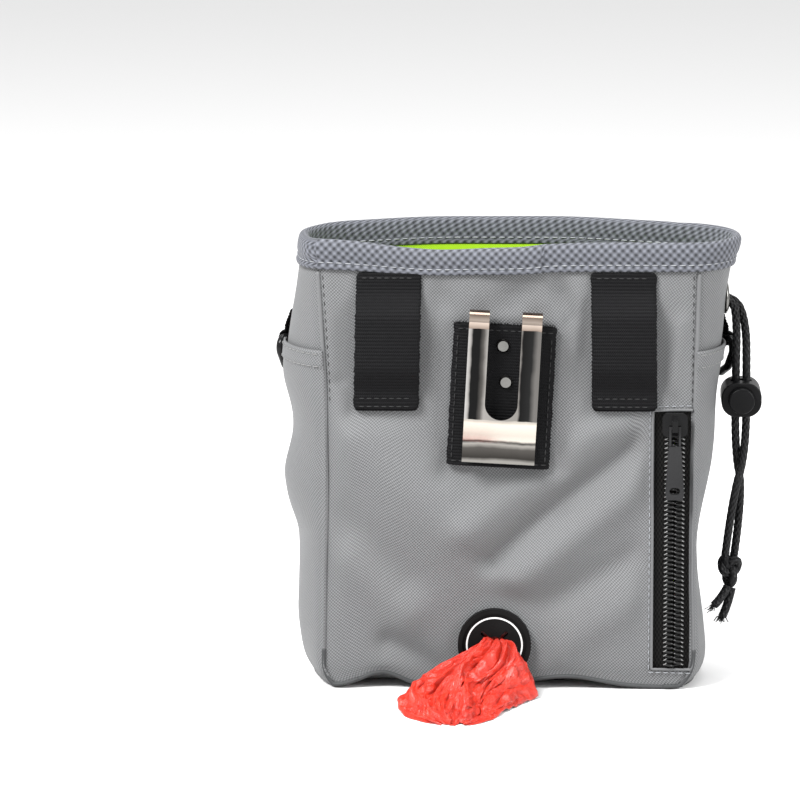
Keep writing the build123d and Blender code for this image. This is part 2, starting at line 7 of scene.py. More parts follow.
import bpy
import numpy as np
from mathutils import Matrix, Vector

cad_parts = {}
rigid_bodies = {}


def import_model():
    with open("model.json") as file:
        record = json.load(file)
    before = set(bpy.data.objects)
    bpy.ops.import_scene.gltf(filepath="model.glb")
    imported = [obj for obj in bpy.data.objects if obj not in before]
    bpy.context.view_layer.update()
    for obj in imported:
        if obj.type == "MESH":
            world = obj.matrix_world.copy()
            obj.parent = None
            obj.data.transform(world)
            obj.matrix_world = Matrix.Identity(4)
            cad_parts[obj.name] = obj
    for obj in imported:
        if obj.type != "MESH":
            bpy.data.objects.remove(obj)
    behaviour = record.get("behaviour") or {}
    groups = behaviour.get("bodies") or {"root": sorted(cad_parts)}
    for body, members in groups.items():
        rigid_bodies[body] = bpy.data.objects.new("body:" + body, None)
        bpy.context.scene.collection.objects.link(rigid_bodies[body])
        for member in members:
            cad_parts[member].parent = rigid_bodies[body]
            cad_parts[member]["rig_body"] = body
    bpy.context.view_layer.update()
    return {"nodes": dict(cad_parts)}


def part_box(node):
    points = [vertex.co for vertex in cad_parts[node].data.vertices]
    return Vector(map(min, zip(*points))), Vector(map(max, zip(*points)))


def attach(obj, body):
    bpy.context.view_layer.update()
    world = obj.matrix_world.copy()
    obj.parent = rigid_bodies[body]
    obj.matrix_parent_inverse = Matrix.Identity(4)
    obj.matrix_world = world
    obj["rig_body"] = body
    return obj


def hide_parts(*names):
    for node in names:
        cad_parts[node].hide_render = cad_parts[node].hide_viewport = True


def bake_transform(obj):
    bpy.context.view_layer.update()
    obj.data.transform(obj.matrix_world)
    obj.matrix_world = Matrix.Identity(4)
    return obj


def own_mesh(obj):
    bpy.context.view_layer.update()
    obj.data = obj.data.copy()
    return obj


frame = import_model()
MM = 0.001
PI = math.pi
UP = np.array([0.0, 0.0, 1.0])
rng = np.random.default_rng(7)

# Camera

AIM = Vector((-0.0400, -0.031, 0.1113))
camera = bpy.data.objects.new("camera", bpy.data.cameras.new("camera"))
bpy.context.scene.collection.objects.link(camera)
bpy.context.scene.camera = camera
bpy.context.scene.view_settings.view_transform = "Standard"
camera.data.lens = 295
camera.data.sensor_width = 36
camera.data.clip_start = 0.05
camera.location = (0.0, -2.451, 0.567)
camera.rotation_euler = (AIM - camera.location).to_track_quat("-Z", "Y").to_euler()

# Places taken from the frame


def corners(node_name):
    """A node's lowest and highest corners at rest, to 0.05 mm."""
    return [np.round(np.array(corner) / MM * 20) / 20 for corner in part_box(node_name)]


def centre(node_name):
    low, high = corners(node_name)
    return (low + high) / 2


BACK_Y = corners("back_panel")[0][1]
POCKET_TOP = corners("pocket_front")[1][2]
PORT_X, _, PORT_Z = centre("port_ring")
_, EYE_Y, EYE_Z = centre("cord_eyelet")
LOCK_X, _, LOCK_Z = centre("cord_lock_body")
CORE_LOW, CORE_HIGH = corners("roll_core")

FOLD_Y = -5.0  # depth of the fold that stands out along the middle of each gusset
CORNER_X = 66.0
CLOTH_LOW, CLOTH_TOP = 0.6, 169.5  # lowest and highest rows of the outer cloth
LINING_LOW, LINING_TOP = 1.8, 168.0
OUTER_THICK, POCKET_THICK, LINING_THICK = 0.9, 0.8, 0.5
LINING_INSET = 1.7
POCKET_HEM, POCKET_BULGE = 123.2, 9.0
POCKET_STITCHES = ((128.6, "edge"), (123.9, "hem"))
CLIP_X, CLIP_Z = -1.65, 117.2  # middle of the clip, which leans with its patch
CLIP_LEAN = math.radians(3.0)

# Mesh helpers


def add_mesh(name, verts, faces, look, body="pouch", uv=None, replaces=()):
    """A smooth mesh object from points in millimetres; uv is one pair per vertex, in metres."""
    mesh = bpy.data.meshes.new(name)
    mesh.from_pydata((np.asarray(verts, float) * MM).tolist(), [], faces)
    mesh.update()
    if uv is not None:
        layer = mesh.uv_layers.new(name="UVMap")
        index = np.zeros(len(mesh.loops), dtype=np.int32)
        mesh.loops.foreach_get("vertex_index", index)
        layer.data.foreach_set("uv", np.asarray(uv, float)[index].astype(np.float32).ravel())
    mesh.polygons.foreach_set("use_smooth", [True] * len(mesh.polygons))
    obj = bpy.data.objects.new(name, mesh)
    bpy.context.scene.collection.objects.link(obj)
    mesh.materials.append(look)
    if body:
        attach(obj, body)
    if replaces:
        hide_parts(*replaces)
    return obj


def grid_faces(rows, cols, close_rows=False, close_cols=False, flip=False):
    """Quads over a grid of points stored row by row."""
    faces = []
    for i in range(rows if close_rows else rows - 1):
        for j in range(cols if close_cols else cols - 1):
            a, b = i * cols + j, i * cols + (j + 1) % cols
            below = (i + 1) % rows * cols
            c, d = below + (j + 1) % cols, below + j
            faces.append((a, d, c, b) if flip else (a, b, c, d))
    return faces


def end_caps(rows, cols):
    """The two faces that close a tube whose rings are the rows of a grid."""
    last = (rows - 1) * cols
    return [tuple(range(cols))[::-1], tuple(range(last, last + cols))]


def normals(p):
    """Unit normals of a grid of points."""
    n = np.cross(np.gradient(p, axis=1), np.gradient(p, axis=0))
    return n / np.maximum(np.linalg.norm(n, axis=2, keepdims=True), 1e-9)


def grid_uv(p):
    """Distances along and across a grid, in metres, so that a weave keeps its size."""
    u = np.zeros(p.shape[:2])
    v = np.zeros(p.shape[:2])
    u[:, 1:] = np.cumsum(np.linalg.norm(np.diff(p, axis=1), axis=2), axis=1)
    v[1:] = np.cumsum(np.linalg.norm(np.diff(p, axis=0), axis=2), axis=0)
    return np.stack([u * MM, v * MM], axis=2)


def cloth(name, p, thick, look, replaces, outside=0.0, body="pouch", hole=None):
    """A layer of cloth: the grid p thickened inwards, and outwards by outside, with its edges
    closed. hole says which cells of the grid are left out."""
    rows, cols = p.shape[:2]
    n = normals(p)
    verts = np.concatenate([(p + n * outside).reshape(-1, 3), (p - n * thick).reshape(-1, 3)])
    count = rows * cols
    kept = np.ones((rows - 1, cols - 1), bool) if hole is None else ~hole
    faces = []
    for i, j in zip(*np.nonzero(kept)):
        a, b = i * cols + j, i * cols + j + 1
        c, d = b + cols, a + cols
        faces.append((a, b, c, d))
        faces.append((a + count, d + count, c + count, b + count))
        if i == 0 or not kept[i - 1, j]:
            faces.append((b, a, a + count, b + count))
        if i == rows - 2 or not kept[i + 1, j]:
            faces.append((d, c, c + count, d + count))
        if j == 0 or not kept[i, j - 1]:
            faces.append((a, d, d + count, a + count))
        if j == cols - 2 or not kept[i, j + 1]:
            faces.append((c, b, b + count, c + count))
    uv = grid_uv(p).reshape(-1, 2)
    used = np.unique(np.array(faces))
    place = np.full(len(verts), -1)
    place[used] = np.arange(len(used))
    faces = [tuple(int(place[k]) for k in face) for face in faces]
    return add_mesh(name, verts[used], faces, look, body, np.concatenate([uv, uv])[used], replaces)


def frames_along(path):
    """Two turning-free normals along a line of points."""
    t = np.gradient(path, axis=0)
    t /= np.linalg.norm(t, axis=1, keepdims=True)
    first = np.cross(t[0], (0.13, 0.97, 0.2))
    n = [first / np.linalg.norm(first)]
    for tangent in t[1:]:
        turned = n[-1] - tangent * (n[-1] @ tangent)
        n.append(turned / np.linalg.norm(turned))
    n = np.array(n)
    return n, np.cross(t, n)


def lengths(path):
    """The distance of each point from the start of the line."""
    return np.concatenate([[0], np.cumsum(np.linalg.norm(np.diff(path, axis=0), axis=1))])


def points_at(path, s, at):
    """Points of a line at some distances, where s is the distance of each of its own points."""
    return np.stack([np.interp(at, s, path[:, k]) for k in range(path.shape[1])], axis=1)


def resample(path, step):
    """The same line with its points evenly spaced."""
    path = np.asarray(path, float)
    s = lengths(path)
    return points_at(path, s, np.linspace(0, s[-1], max(2, int(round(s[-1] / step)) + 1)))


def tube(path, radius, around=10, close=False):
    """Vertices and faces of a tube; radius is one number, or one for each point and side."""
    path = np.asarray(path, float)
    n, b = frames_along(path)
    a = np.arange(around) * 2 * PI / around
    r = np.broadcast_to(np.asarray(radius, float), (len(path), around))
    across, up = np.cos(a) * r, np.sin(a) * r
    verts = path[:, None] + n[:, None] * across[:, :, None] + b[:, None] * up[:, :, None]
    faces = grid_faces(len(path), around, close, True)
    if not close:
        faces += end_caps(len(path), around)
    return verts.reshape(-1, 3), faces


def join(parts):
    """Several (verts, faces) as one."""
    verts, faces, at = [], [], 0
    for v, f in parts:
        verts.append(np.asarray(v))
        faces += [tuple(k + at for k in face) for face in f]
        at += len(v)
    return np.concatenate(verts), faces


STITCH_STATIONS = np.array([0.0, 0.25, 0.5, 0.75, 1.0])
STITCH_TAPER = np.outer([0.45, 0.9, 1, 0.9, 0.45], np.ones(6))


def stitches(name, path, look, long=1.9, gap=0.9, radius=0.24):
    """Thread along a line on the cloth: a small bar with thin ends for each stitch."""
    s = lengths(path)
    parts = []
    at = gap / 2
    while at + long < s[-1]:
        parts.append(tube(points_at(path, s, at + long * STITCH_STATIONS), STITCH_TAPER * radius, 6))
        at += long + gap
    return add_mesh(name, *join(parts), look)


# Material helpers


def material(name, color, rough, metallic=0.0, **sockets):
    m = bpy.data.materials.new(name)
    m.use_nodes = True
    bsdf = m.node_tree.nodes["Principled BSDF"]
    bsdf.inputs["Base Color"].default_value = (*color, 1)
    bsdf.inputs["Roughness"].default_value = rough
    bsdf.inputs["Metallic"].default_value = metallic
    for key, value in sockets.items():
        bsdf.inputs[key.replace("_", " ")].default_value = value
    return m


def node(m, kind, **settings):
    made = m.node_tree.nodes.new(kind)
    for key, value in settings.items():
        setattr(made, key, value)
    return made


def link(m, a, b):
    m.node_tree.links.new(a, b)


def calc(m, operation, *values):
    """A Math node on sockets or numbers."""
    made = node(m, "ShaderNodeMath", operation=operation)
    for socket, value in zip(made.inputs, values):
        if isinstance(value, (int, float)):
            socket.default_value = value
        else:
            link(m, value, socket)
    return made.outputs[0]


def wave(m, socket, pitch):
    """Sine of a distance, one period to each pitch."""
    return calc(m, "SINE", calc(m, "MULTIPLY", socket, 2 * PI / pitch))


def half(m, socket):
    """A sine from -1..1 brought to 0..1."""
    return calc(m, "MULTIPLY_ADD", socket, 0.5, 0.5)


def coordinates(m, kind):
    return node(m, "ShaderNodeTexCoord").outputs[kind]


def split_axes(m, vector):
    split = node(m, "ShaderNodeSeparateXYZ")
    link(m, vector, split.inputs[0])
    return split.outputs


def noise(m, scale, detail=2.0, vector=None):
    """Noise in the object's metres, or along a given vector."""
    made = node(m, "ShaderNodeTexNoise")
    made.inputs["Scale"].default_value = scale
    made.inputs["Detail"].default_value = detail
    link(m, coordinates(m, "Object") if vector is None else vector, made.inputs["Vector"])
    return made.outputs["Fac"]


def swing(m, scale, reach, detail=2.0):
    """Noise from -reach to reach."""
    return calc(m, "MULTIPLY_ADD", noise(m, scale, detail), 2 * reach, -reach)


def ramp(m, fac, stops):
    r = node(m, "ShaderNodeValToRGB")
    while len(r.color_ramp.elements) < len(stops):
        r.color_ramp.elements.new(0.5)
    for element, (at, color) in zip(r.color_ramp.elements, stops):
        element.position = at
        element.color = (*color, 1)
    link(m, fac, r.inputs[0])
    return r.outputs[0]


def above(m, value, level, low, high):
    """One colour below a level of a value and another above it."""
    mix = node(m, "ShaderNodeMix", data_type="RGBA")
    link(m, calc(m, "GREATER_THAN", value, level), mix.inputs["Factor"])
    link(m, low, mix.inputs["A"])
    link(m, high, mix.inputs["B"])
    return mix.outputs["Result"]


def bump(m, height, distance):
    b = node(m, "ShaderNodeBump")
    b.inputs["Distance"].default_value = distance
    b.inputs["Strength"].default_value = 1.0
    link(m, height, b.inputs["Height"])
    link(m, b.outputs[0], m.node_tree.nodes["Principled BSDF"].inputs["Normal"])


def paint(m, socket):
    link(m, socket, m.node_tree.nodes["Principled BSDF"].inputs["Base Color"])


def woven(name, pitch, dark, light, rough, depth, patches=0.06):
    """Plain weave in the UV's metres, with slow patches of tone and a fine grain."""
    m = material(name, light, rough, Sheen_Weight=0.06, Specular_IOR_Level=0.25)
    u, v, _ = split_axes(m, coordinates(m, "UV"))
    over = half(m, calc(m, "MULTIPLY", wave(m, u, pitch), wave(m, v, pitch)))
    tone = calc(m, "ADD", calc(m, "ADD", over, swing(m, 35.0, patches)), swing(m, 2600.0, 0.15))
    paint(m, ramp(m, tone, [(0.0, dark), (1.0, light)]))
    bump(m, over, depth)
    return m


def ribbed_painted_glints(name, pitch, dark, light, rough, shine=0.08):
    """Fine yarn over modelled ribs, with painted glints: the colour is lighter where the yarn rises."""
    m = material(name, light, rough, Specular_IOR_Level=shine)
    u, v, _ = split_axes(m, coordinates(m, "UV"))
    yarn = half(m, calc(m, "MULTIPLY", wave(m, u, pitch), wave(m, v, pitch * 1.7)))
    # Painted glints: from the dark colour to the light one where the yarn rises.
    paint(m, ramp(m, calc(m, "ADD", yarn, swing(m, 900.0, 0.25)), [(0.15, dark), (0.95, light)]))
    bump(m, yarn, 0.00012)
    return m


def moulded(name, color, rough, grain, depth, shine=0.5, metallic=0.0):
    """Plastic, rubber, thread or plated metal with a little grain."""
    m = material(name, color, rough, metallic, Specular_IOR_Level=shine)
    lighter = tuple(min(1.0, c * 1.35 + 0.002) for c in color)
    paint(m, ramp(m, noise(m, 60.0, 4.0), [(0.3, color), (0.75, lighter)]))
    bump(m, noise(m, grain, 3.0), depth)
    return m


# Materials

OXFORD = woven("oxford_cloth", 0.00125, (0.042, 0.043, 0.0445), (0.140, 0.142, 0.145), 0.6, 0.00016)
LIME = woven("lime_lining", 0.0009, (0.16, 0.30, 0.004), (0.26, 0.44, 0.007), 0.7, 0.00006)
BINDING = woven("binding_tape", 0.0032, (0.012, 0.013, 0.016), (0.112, 0.117, 0.136), 0.7, 0.00035, 0.05)
WEBBING = ribbed_painted_glints("black_webbing", 0.0007, (0.0008, 0.0008, 0.001), (0.0048, 0.0048, 0.0054), 0.6)
CORD = ribbed_painted_glints("black_cord", 0.0016, (0.0005, 0.0005, 0.0005), (0.012, 0.012, 0.013), 0.4, 0.12)
TAPE = ribbed_painted_glints("zip_tape", 0.0014, (0.0006, 0.0006, 0.0006), (0.0075, 0.0072, 0.0066), 0.6)
THREAD_LIGHT = moulded("light_thread", (0.12, 0.12, 0.118), 0.7, 1500.0, 0.00005)
THREAD_GREY = moulded("grey_thread", (0.15, 0.155, 0.165), 0.7, 1500.0, 0.00005)
THREAD_DARK = moulded("dark_thread", (0.0025, 0.0025, 0.0028), 0.8, 1500.0, 0.00005)
PIPING = moulded("seam_piping", (0.016, 0.017, 0.018), 0.75, 900.0, 0.0001)
STEEL = moulded("nickel_plate", (0.26, 0.255, 0.245), 0.16, 45.0, 0.00004, metallic=1.0)
RIVET = moulded("rivet_nickel", (0.13, 0.128, 0.122), 0.2, 300.0, 0.00006, metallic=1.0)
RUBBER = moulded("port_rubber", (0.003, 0.0028, 0.0028), 0.5, 900.0, 0.00005, 0.05)
GLOSS = moulded("gloss_plastic", (0.003, 0.003, 0.0032), 0.15, 200.0, 0.00002, 0.14)
LOCK = moulded("lock_plastic", (0.0022, 0.0022, 0.0024), 0.36, 700.0, 0.00005, 0.08)
ENAMEL = moulded("zip_enamel", (0.0018, 0.0018, 0.002), 0.2, 120.0, 0.00003, 0.12)
PULL = moulded("pull_matte", (0.010, 0.010, 0.0105), 0.5, 900.0, 0.00005, 0.15)
NYLON = moulded("zip_coil", (0.004, 0.004, 0.004), 0.28, 500.0, 0.00003, 0.3)
WHITE = moulded("white_print", (0.45, 0.45, 0.445), 0.5, 900.0, 0.00002)
CARD = moulded("core_card", (0.42, 0.30, 0.19), 0.85, 500.0, 0.00006)


def painted_reflection_leaf():
    """Nickel plate on the clip's front leaf, with reflections painted into its colour: painted dark
    reflections down each arm with painted highlights at their edges, a painted pale reflection on the plate
    under the slot and a painted highlight across the darker lip. Measured in the clip's own leaning frame,
    in metres."""
    leaf_width, leaf_height = 0.028, 0.060
    plate_top, bend_low = 0.30, 0.875  # as parts of the height
    m = material("clip_chrome", (0.5, 0.5, 0.5), 0.13, 1.0)
    turned = node(m, "ShaderNodeMapping", vector_type="TEXTURE")
    turned.inputs["Location"].default_value = (CLIP_X * MM, 0, CLIP_Z * MM)
    turned.inputs["Rotation"].default_value = (0, CLIP_LEAN, 0)
    link(m, coordinates(m, "Object"), turned.inputs[0])
    x, _, z = split_axes(m, turned.outputs[0])
    wobble = swing(m, 110.0, 0.0008, 3.0)
    u = calc(m, "MULTIPLY_ADD", calc(m, "ADD", x, wobble), 1 / leaf_width, 0.5)
    v = calc(m, "MULTIPLY_ADD", calc(m, "ADD", z, wobble), 1 / leaf_height, 0.5)
    # Colours of the painted reflections and highlights: across each arm, up the plate under the slot and
    # over the lip's bend.
    pale, grey, dark = (0.44, 0.41, 0.36), (0.10, 0.095, 0.09), (0.008, 0.008, 0.008)
    arm_painted_reflections = [
        (0.0, (0.34, 0.33, 0.32)), (0.05, (0.22, 0.21, 0.20)), (0.075, dark), (0.17, dark),
        (0.225, (0.06, 0.056, 0.052)), (0.27, (0.20, 0.19, 0.18)), (0.715, (0.16, 0.15, 0.14)),
        (0.745, dark), (0.87, (0.014, 0.014, 0.014)), (0.94, grey),
    ]
    plate = [
        (0.0, (0.5, 0.48, 0.45)), (0.035, (0.45, 0.43, 0.40)), (0.055, (0.06, 0.055, 0.05)),
        (0.11, (0.14, 0.13, 0.12)), (0.135, (0.55, 0.52, 0.48)), (0.15, dark),
        (0.165, (0.5, 0.47, 0.42)), (0.20, pale), (0.275, (0.55, 0.50, 0.44)), (0.295, (0.3, 0.28, 0.25)),
    ]
    bend = [(0.86, (0.10, 0.07, 0.055)), (0.93, (0.50, 0.42, 0.36)), (0.96, (0.20, 0.15, 0.12))]
    lower = above(m, v, plate_top, ramp(m, v, plate), ramp(m, u, arm_painted_reflections))
    paint(m, above(m, v, bend_low, lower, ramp(m, v, bend)))
    bump(m, noise(m, 45.0), 0.00005)
    return m


def thin_film():
    """Thin red plastic film, creased finely along its length."""
    gloss = {"Coat_Weight": 0.3, "Coat_Roughness": 0.1, "Specular_IOR_Level": 0.35}
    m = material("bag_film", (0.5, 0.03, 0.02), 0.3, **gloss)
    paint(m, ramp(m, noise(m, 90.0, 4.0), [(0.25, (0.36, 0.012, 0.005)), (0.75, (0.52, 0.026, 0.011))]))
    stretch = node(m, "ShaderNodeMapping")
    stretch.inputs["Scale"].default_value = (520, 130, 1)
    link(m, coordinates(m, "UV"), stretch.inputs[0])
    bump(m, noise(m, 5.0, 3.0, stretch.outputs[0]), 0.0006)
    return m


CHROME_PAINTED_REFLECTION = painted_reflection_leaf()
FILM = thin_film()

# Cords

CORD_R = 1.6
KNOT_R, KNOT_YARN_R = 1.75, 1.7
BRAID_DEPTH = 0.2
STRANDS = {
    "front": [
        (79.2, -9.8, 147.2), (85.6, -9.8, 147.0), (87.0, -10.2, 136.5), (86.75, -8.0, 119.0),
        (86.75, -8.0, 87.0), (90.2, -1.8, 71.0), (86.9, -6.2, 47.4),
    ],
    "rear": [
        (79.2, -6.2, 147.2), (86.6, -6.2, 147.0), (90.6, -5.8, 136.5), (90.85, -8.0, 119.0),
        (90.85, -8.0, 87.0), (85.8, -14.2, 71.0), (83.3, -9.8, 47.4),
    ],
}
KNOT_AT = np.array([85.2, -8.0, 41.9])
CUT_ENDS = [((84.4, -9.4, 35.5), (79.2, -13.0, 28.8)), ((86.0, -7.4, 34.6), (82.4, -9.6, 23.6))]
INTO_KNOT = [((83.3, -9.8, 47.9), (84.4, -8.9, 43.0)), ((86.9, -6.2, 47.9), (86.1, -7.0, 43.0))]


def nurbs_points(points, fine=48):
    """Points along the NURBS spline that has these control points, in millimetres."""
    curve = bpy.data.curves.new("route", "CURVE")
    curve.dimensions = "3D"
    curve.resolution_u = fine
    spline = curve.splines.new("NURBS")
    spline.points.add(len(points) - 1)
    for p, q in zip(spline.points, points):
        p.co = (*(c * MM for c in q), 1)
    spline.order_u = 3
    spline.use_endpoint_u = True
    holder = bpy.data.objects.new("route", curve)
    bpy.context.scene.collection.objects.link(holder)
    bpy.context.view_layer.update()
    mesh = bpy.data.meshes.new_from_object(holder)
    found = np.array([v.co for v in mesh.vertices]) / MM
    bpy.data.objects.remove(holder)
    bpy.data.curves.remove(curve)
    bpy.data.meshes.remove(mesh)
    return found


def braid(path, radius=CORD_R, around=36, pitch=2.9, close=False, cells=6):
    """A tube with the raised diamonds of a braided sheath, and its UVs in metres."""
    s = lengths(path)[:, None]
    a = np.arange(around)[None] * 2 * PI / around
    one = np.sin(cells * a + 2 * PI * s / pitch)
    two = np.sin(cells * a - 2 * PI * s / pitch)
    verts, faces = tube(path, radius - BRAID_DEPTH + BRAID_DEPTH * np.maximum(one, two), around, close)
    uv = np.stack(np.broadcast_arrays(a * radius * MM, s * MM), axis=2).reshape(-1, 2)
    return verts, faces, uv


def knot():
    """The overhand knot that joins the strands: a closed three-lobed loop."""
    turn = np.linspace(0, 2 * PI, 240, endpoint=False)
    x = 1.25 * (np.sin(turn) + 1.7 * np.sin(2 * turn))
    y = 1.35 * np.sin(3 * turn)
    z = 1.9 * (np.cos(turn) - 1.9 * np.cos(2 * turn))
    verts, faces, uv = braid(KNOT_AT + np.stack([x, y, z], axis=1), KNOT_R, 28, PI, close=True)
    uv[:, 0] *= KNOT_YARN_R / KNOT_R
    return add_mesh("cord_knot_wraps", verts, faces, CORD, uv=uv, replaces=["cord_knot"])


def frayed_end(start, end):
    """A cut end under the knot, with its yarns opened out."""
    sag = (np.array(start) + np.array(end)) / 2 + np.array([0.6, 0, -0.5])
    line = nurbs_points([start, tuple(sag), end], 40)
    parts = [braid(line, 1.65)[:2]]
    out = line[-1] - line[-6]
    out /= np.linalg.norm(out)
    for _ in range(26):
        spread = rng.normal(0, 0.55, 3)
        root = line[-1] + spread * 0.9 - out * 0.5
        tip = root + out * rng.uniform(1.0, 2.6) + spread * rng.uniform(0.6, 1.5)
        bend = (root + tip) / 2 + rng.normal(0, 0.3, 3)
        parts.append(tube(np.array([root, bend, tip]), rng.uniform(0.1, 0.22), 5))
    return parts


def lock_spring():
    """The lock's spring as a fixed helix of wire; on the real lock it closes up as the button goes in."""
    a = np.linspace(0, 2 * PI * 2.75, 110)
    path = np.stack(
        [LOCK_X + 3.2 * np.cos(a), -4.25 + a / (2 * PI) * 1.2, LOCK_Z + 3.2 * np.sin(a)], axis=1
    )
    wire = add_mesh("lock_spring_wire", *tube(path, 0.35), STEEL, "cord_lock", replaces=["cord_lock_spring"])
    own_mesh(wire)
    return wire


routes = {which: nurbs_points(route) for which, route in STRANDS.items()}
for which, line in routes.items():
    verts, faces, uv = braid(line)
    name = f"cord_strand_{which}"
    add_mesh(name, verts, faces, CORD, uv=uv, replaces=[f"drawcord_strand_{which}"])
wraps = knot()
parts = [piece for start, end in CUT_ENDS for piece in frayed_end(start, end)]
parts += [braid(resample(ends, 0.4))[:2] for ends in INTO_KNOT]
cut_ends = add_mesh("cord_cut_ends", *join(parts), CORD, replaces=["cord_ends"])
on_front = [wraps, cut_ends, lock_spring()]
on_front += [frame["nodes"]["cord_lock_body"], frame["nodes"]["cord_lock_button"]]
for which, line in routes.items():
    tuple(float(c) * MM for c in line[0])
    [[float(c) * MM for c in p] for p in line]

# The pouch's surface


def table(*pairs, spread=3.0):
    """A smooth function through a few (height, value) pairs."""
    step, reach = 0.5, 24
    at = np.arange(-20.0, 200.0, step)
    raw = np.interp(at, *zip(*pairs))
    kernel = np.exp(-((np.arange(-reach, reach + 1) * step / spread) ** 2) / 2)
    padded = np.concatenate([np.full(reach, raw[0]), raw, np.full(reach, raw[-1])])
    soft = np.convolve(padded, kernel / kernel.sum(), "valid")
    return lambda z: np.interp(z, at, soft)


FOLD_RIGHT = table(
    (0, 74.0), (10, 75.6), (28, 73.2), (43, 71.0), (56, 70.4), (68, 73.4), (84, 76.6), (95, 78.0),
    (111, 78.8), (130, 81.0), (149, 82.8), (160, 85.0), (172, 88.0),
)
FOLD_LEFT = table(
    (0, 73.5), (10, 76.0), (25, 78.0), (43, 78.0), (57, 77.6), (68, 81.4), (80, 83.4), (95, 80.0),
    (103, 80.4), (116, 83.6), (124, 83.2), (140, 81.5), (160, 78.6), (172, 76.6),
)
SEAM_RIGHT = table(
    (-3, 61), (0, 65.0), (3.5, 68.6), (8, 70.6), (14, 71.2), (40, 70.6), (90, 70.4), (172, 72.4), spread=1.5
)
SEAM_LEFT = table(
    (-3, 61), (0, 64.5), (3.5, 67.6), (8, 69.0), (40, 68.4), (80, 67.6), (120, 68.2), (172, 71.6), spread=1.5
)
CORNER_Y = table((0, 26.0), (90, 24.0), (172, 18.0), spread=10.0)
FRONT_Y = table((0, 33.0), (60, 36.0), (110, 35.6), (172, 33.0), spread=10.0)

# Folds of the back panel: a line between two (x, z) points, its half width, how far it stands out
FOLDS = [
    ((23, 143), (19, 157), 4.0, -1.7),
    ((27, 132), (29, 156), 5.0, 1.3),
    ((-24, 142), (-28, 157), 5.0, -1.2),
    ((2, 148), (5, 157), 7.0, -1.2),
    ((61, 116), (66, 140), 4.0, 1.3),
    ((44, 108), (-14, 62), 7.0, 1.5),
    ((50, 95), (-6, 50), 4.6, -2.0),
    ((52, 80), (4, 42), 7.0, 2.0),
    ((50, 53), (12, 31), 6.0, -1.4),
    ((48, 34), (20, 16), 7.0, 1.0),
    ((-58, 96), (-20, 64), 15.0, 2.4),
    ((-70, 119), (-61, 118), 2.2, -1.3),
    ((-64, 66), (-40, 42), 8.0, -1.2),
    ((-58, 50), (-38, 30), 9.0, 1.4),
    ((-44, 18), (-26, 9), 5.0, -1.4),
]
BAG_BULGE = ((-50, 60), (34, 34), 26.0, 1.6)
# What is sewn to the back panel: the clip's patch, the two loops and the zip, as (x, x, z, z)
SEWN_ON = [(-22, 18.5, 86, 141), (-58, -31.5, 107, 160), (31, 57, 107, 160), (54, 72, 5, 109)]
# The zip's window, across and up, and the share of the panel's width that it takes
ZIP_X0, ZIP_X1, ZIP_Z0, ZIP_Z1 = 55.3, 69.6, 8.0, 107.4
ZIP_F0, ZIP_F1 = 0.885, 0.985


def swell(x, at, width, height=1.0):
    """A smooth rise of a given height round one place."""
    return height * np.exp(-(((x - at) / width) ** 2))


def upto(value, start, end):
    """0 at start, 1 at end, straight between them; end may be the lower."""
    return np.clip((value - start) / (end - start), 0, 1)


def arc3(p0, p1, p2, u):
    """Points along the circle through three points; each input may be an array over levels."""
    ax, ay, bx, by, cx, cy = *p0, *p1, *p2
    d = 2 * (ax * (by - cy) + bx * (cy - ay) + cx * (ay - by))
    a2, b2, c2 = ax**2 + ay**2, bx**2 + by**2, cx**2 + cy**2
    ux = (a2 * (by - cy) + b2 * (cy - ay) + c2 * (ay - by)) / d
    uy = (a2 * (cx - bx) + b2 * (ax - cx) + c2 * (bx - ax)) / d
    r = np.hypot(ax - ux, ay - uy)
    start = np.arctan2(ay - uy, ax - ux)
    mid = (np.arctan2(by - uy, bx - ux) - start + PI) % (2 * PI) - PI
    end = (np.arctan2(cy - uy, cx - ux) - start + PI) % (2 * PI) - PI
    end = np.where(np.sign(mid) == np.sign(end), end, end + 2 * PI * np.sign(mid))
    angle = start + end * u
    return ux + r * np.cos(angle), uy + r * np.sin(angle)


def ridge(x, z, a, b, width, height):
    """A soft ridge, or a dent where height is negative, along the line from a to b."""
    dx, dz = b[0] - a[0], b[1] - a[1]
    t = np.clip(((x - a[0]) * dx + (z - a[1]) * dz) / (dx * dx + dz * dz), 0, 1)
    d2 = (x - a[0] - t * dx) ** 2 + (z - a[1] - t * dz) ** 2
    return height * np.exp(-d2 / width**2)


def back_relief(x, z):
    """How far the back panel stands out of its plane: folds pulled by the clip and the loops, and
    the bulge over the bags. The lower folds are deeper, and all die out under the rim."""
    folds_out = sum(ridge(x, z, *fold) for fold in FOLDS)
    folds_out *= 1.4 + 0.4 * upto(z, 118, 98)
    return (folds_out + ridge(x, z, *BAG_BULGE)) * upto(z, 161, 152)


def calm(x, z):
    """0 where something is sewn or riveted to the back panel, 1 away from it."""
    keep = 1 - swell(np.maximum(np.hypot(x - PORT_X, z - PORT_Z) - 14, 0), 0, 9.0)
    for x0, x1, z0, z1 in SEWN_ON:
        dx = np.maximum(np.maximum(x0 - x, x - x1), 0)
        dz = np.maximum(np.maximum(z0 - z, z - z1), 0)
        keep *= 1 - swell(np.hypot(dx, dz), 0, 5.0)
    return keep


def hem_lift(x):
    """How far the bottom edge of the back panel arches off the floor."""
    return swell(x, -47, 10, 5.4) + swell(x, 24, 17, 3.6) + swell(x, 0, 30, 0.9)


def rim_sway(x, z):
    """Waves in the near rim, which fade out 20 mm below it."""
    waves = swell(x, -68, 16, 1.2) - swell(x, -24, 24, 2.9) - swell(x, 6, 14, 1.2) + swell(x, 14, 5, 0.4)
    return waves * upto(z, 150, 170)


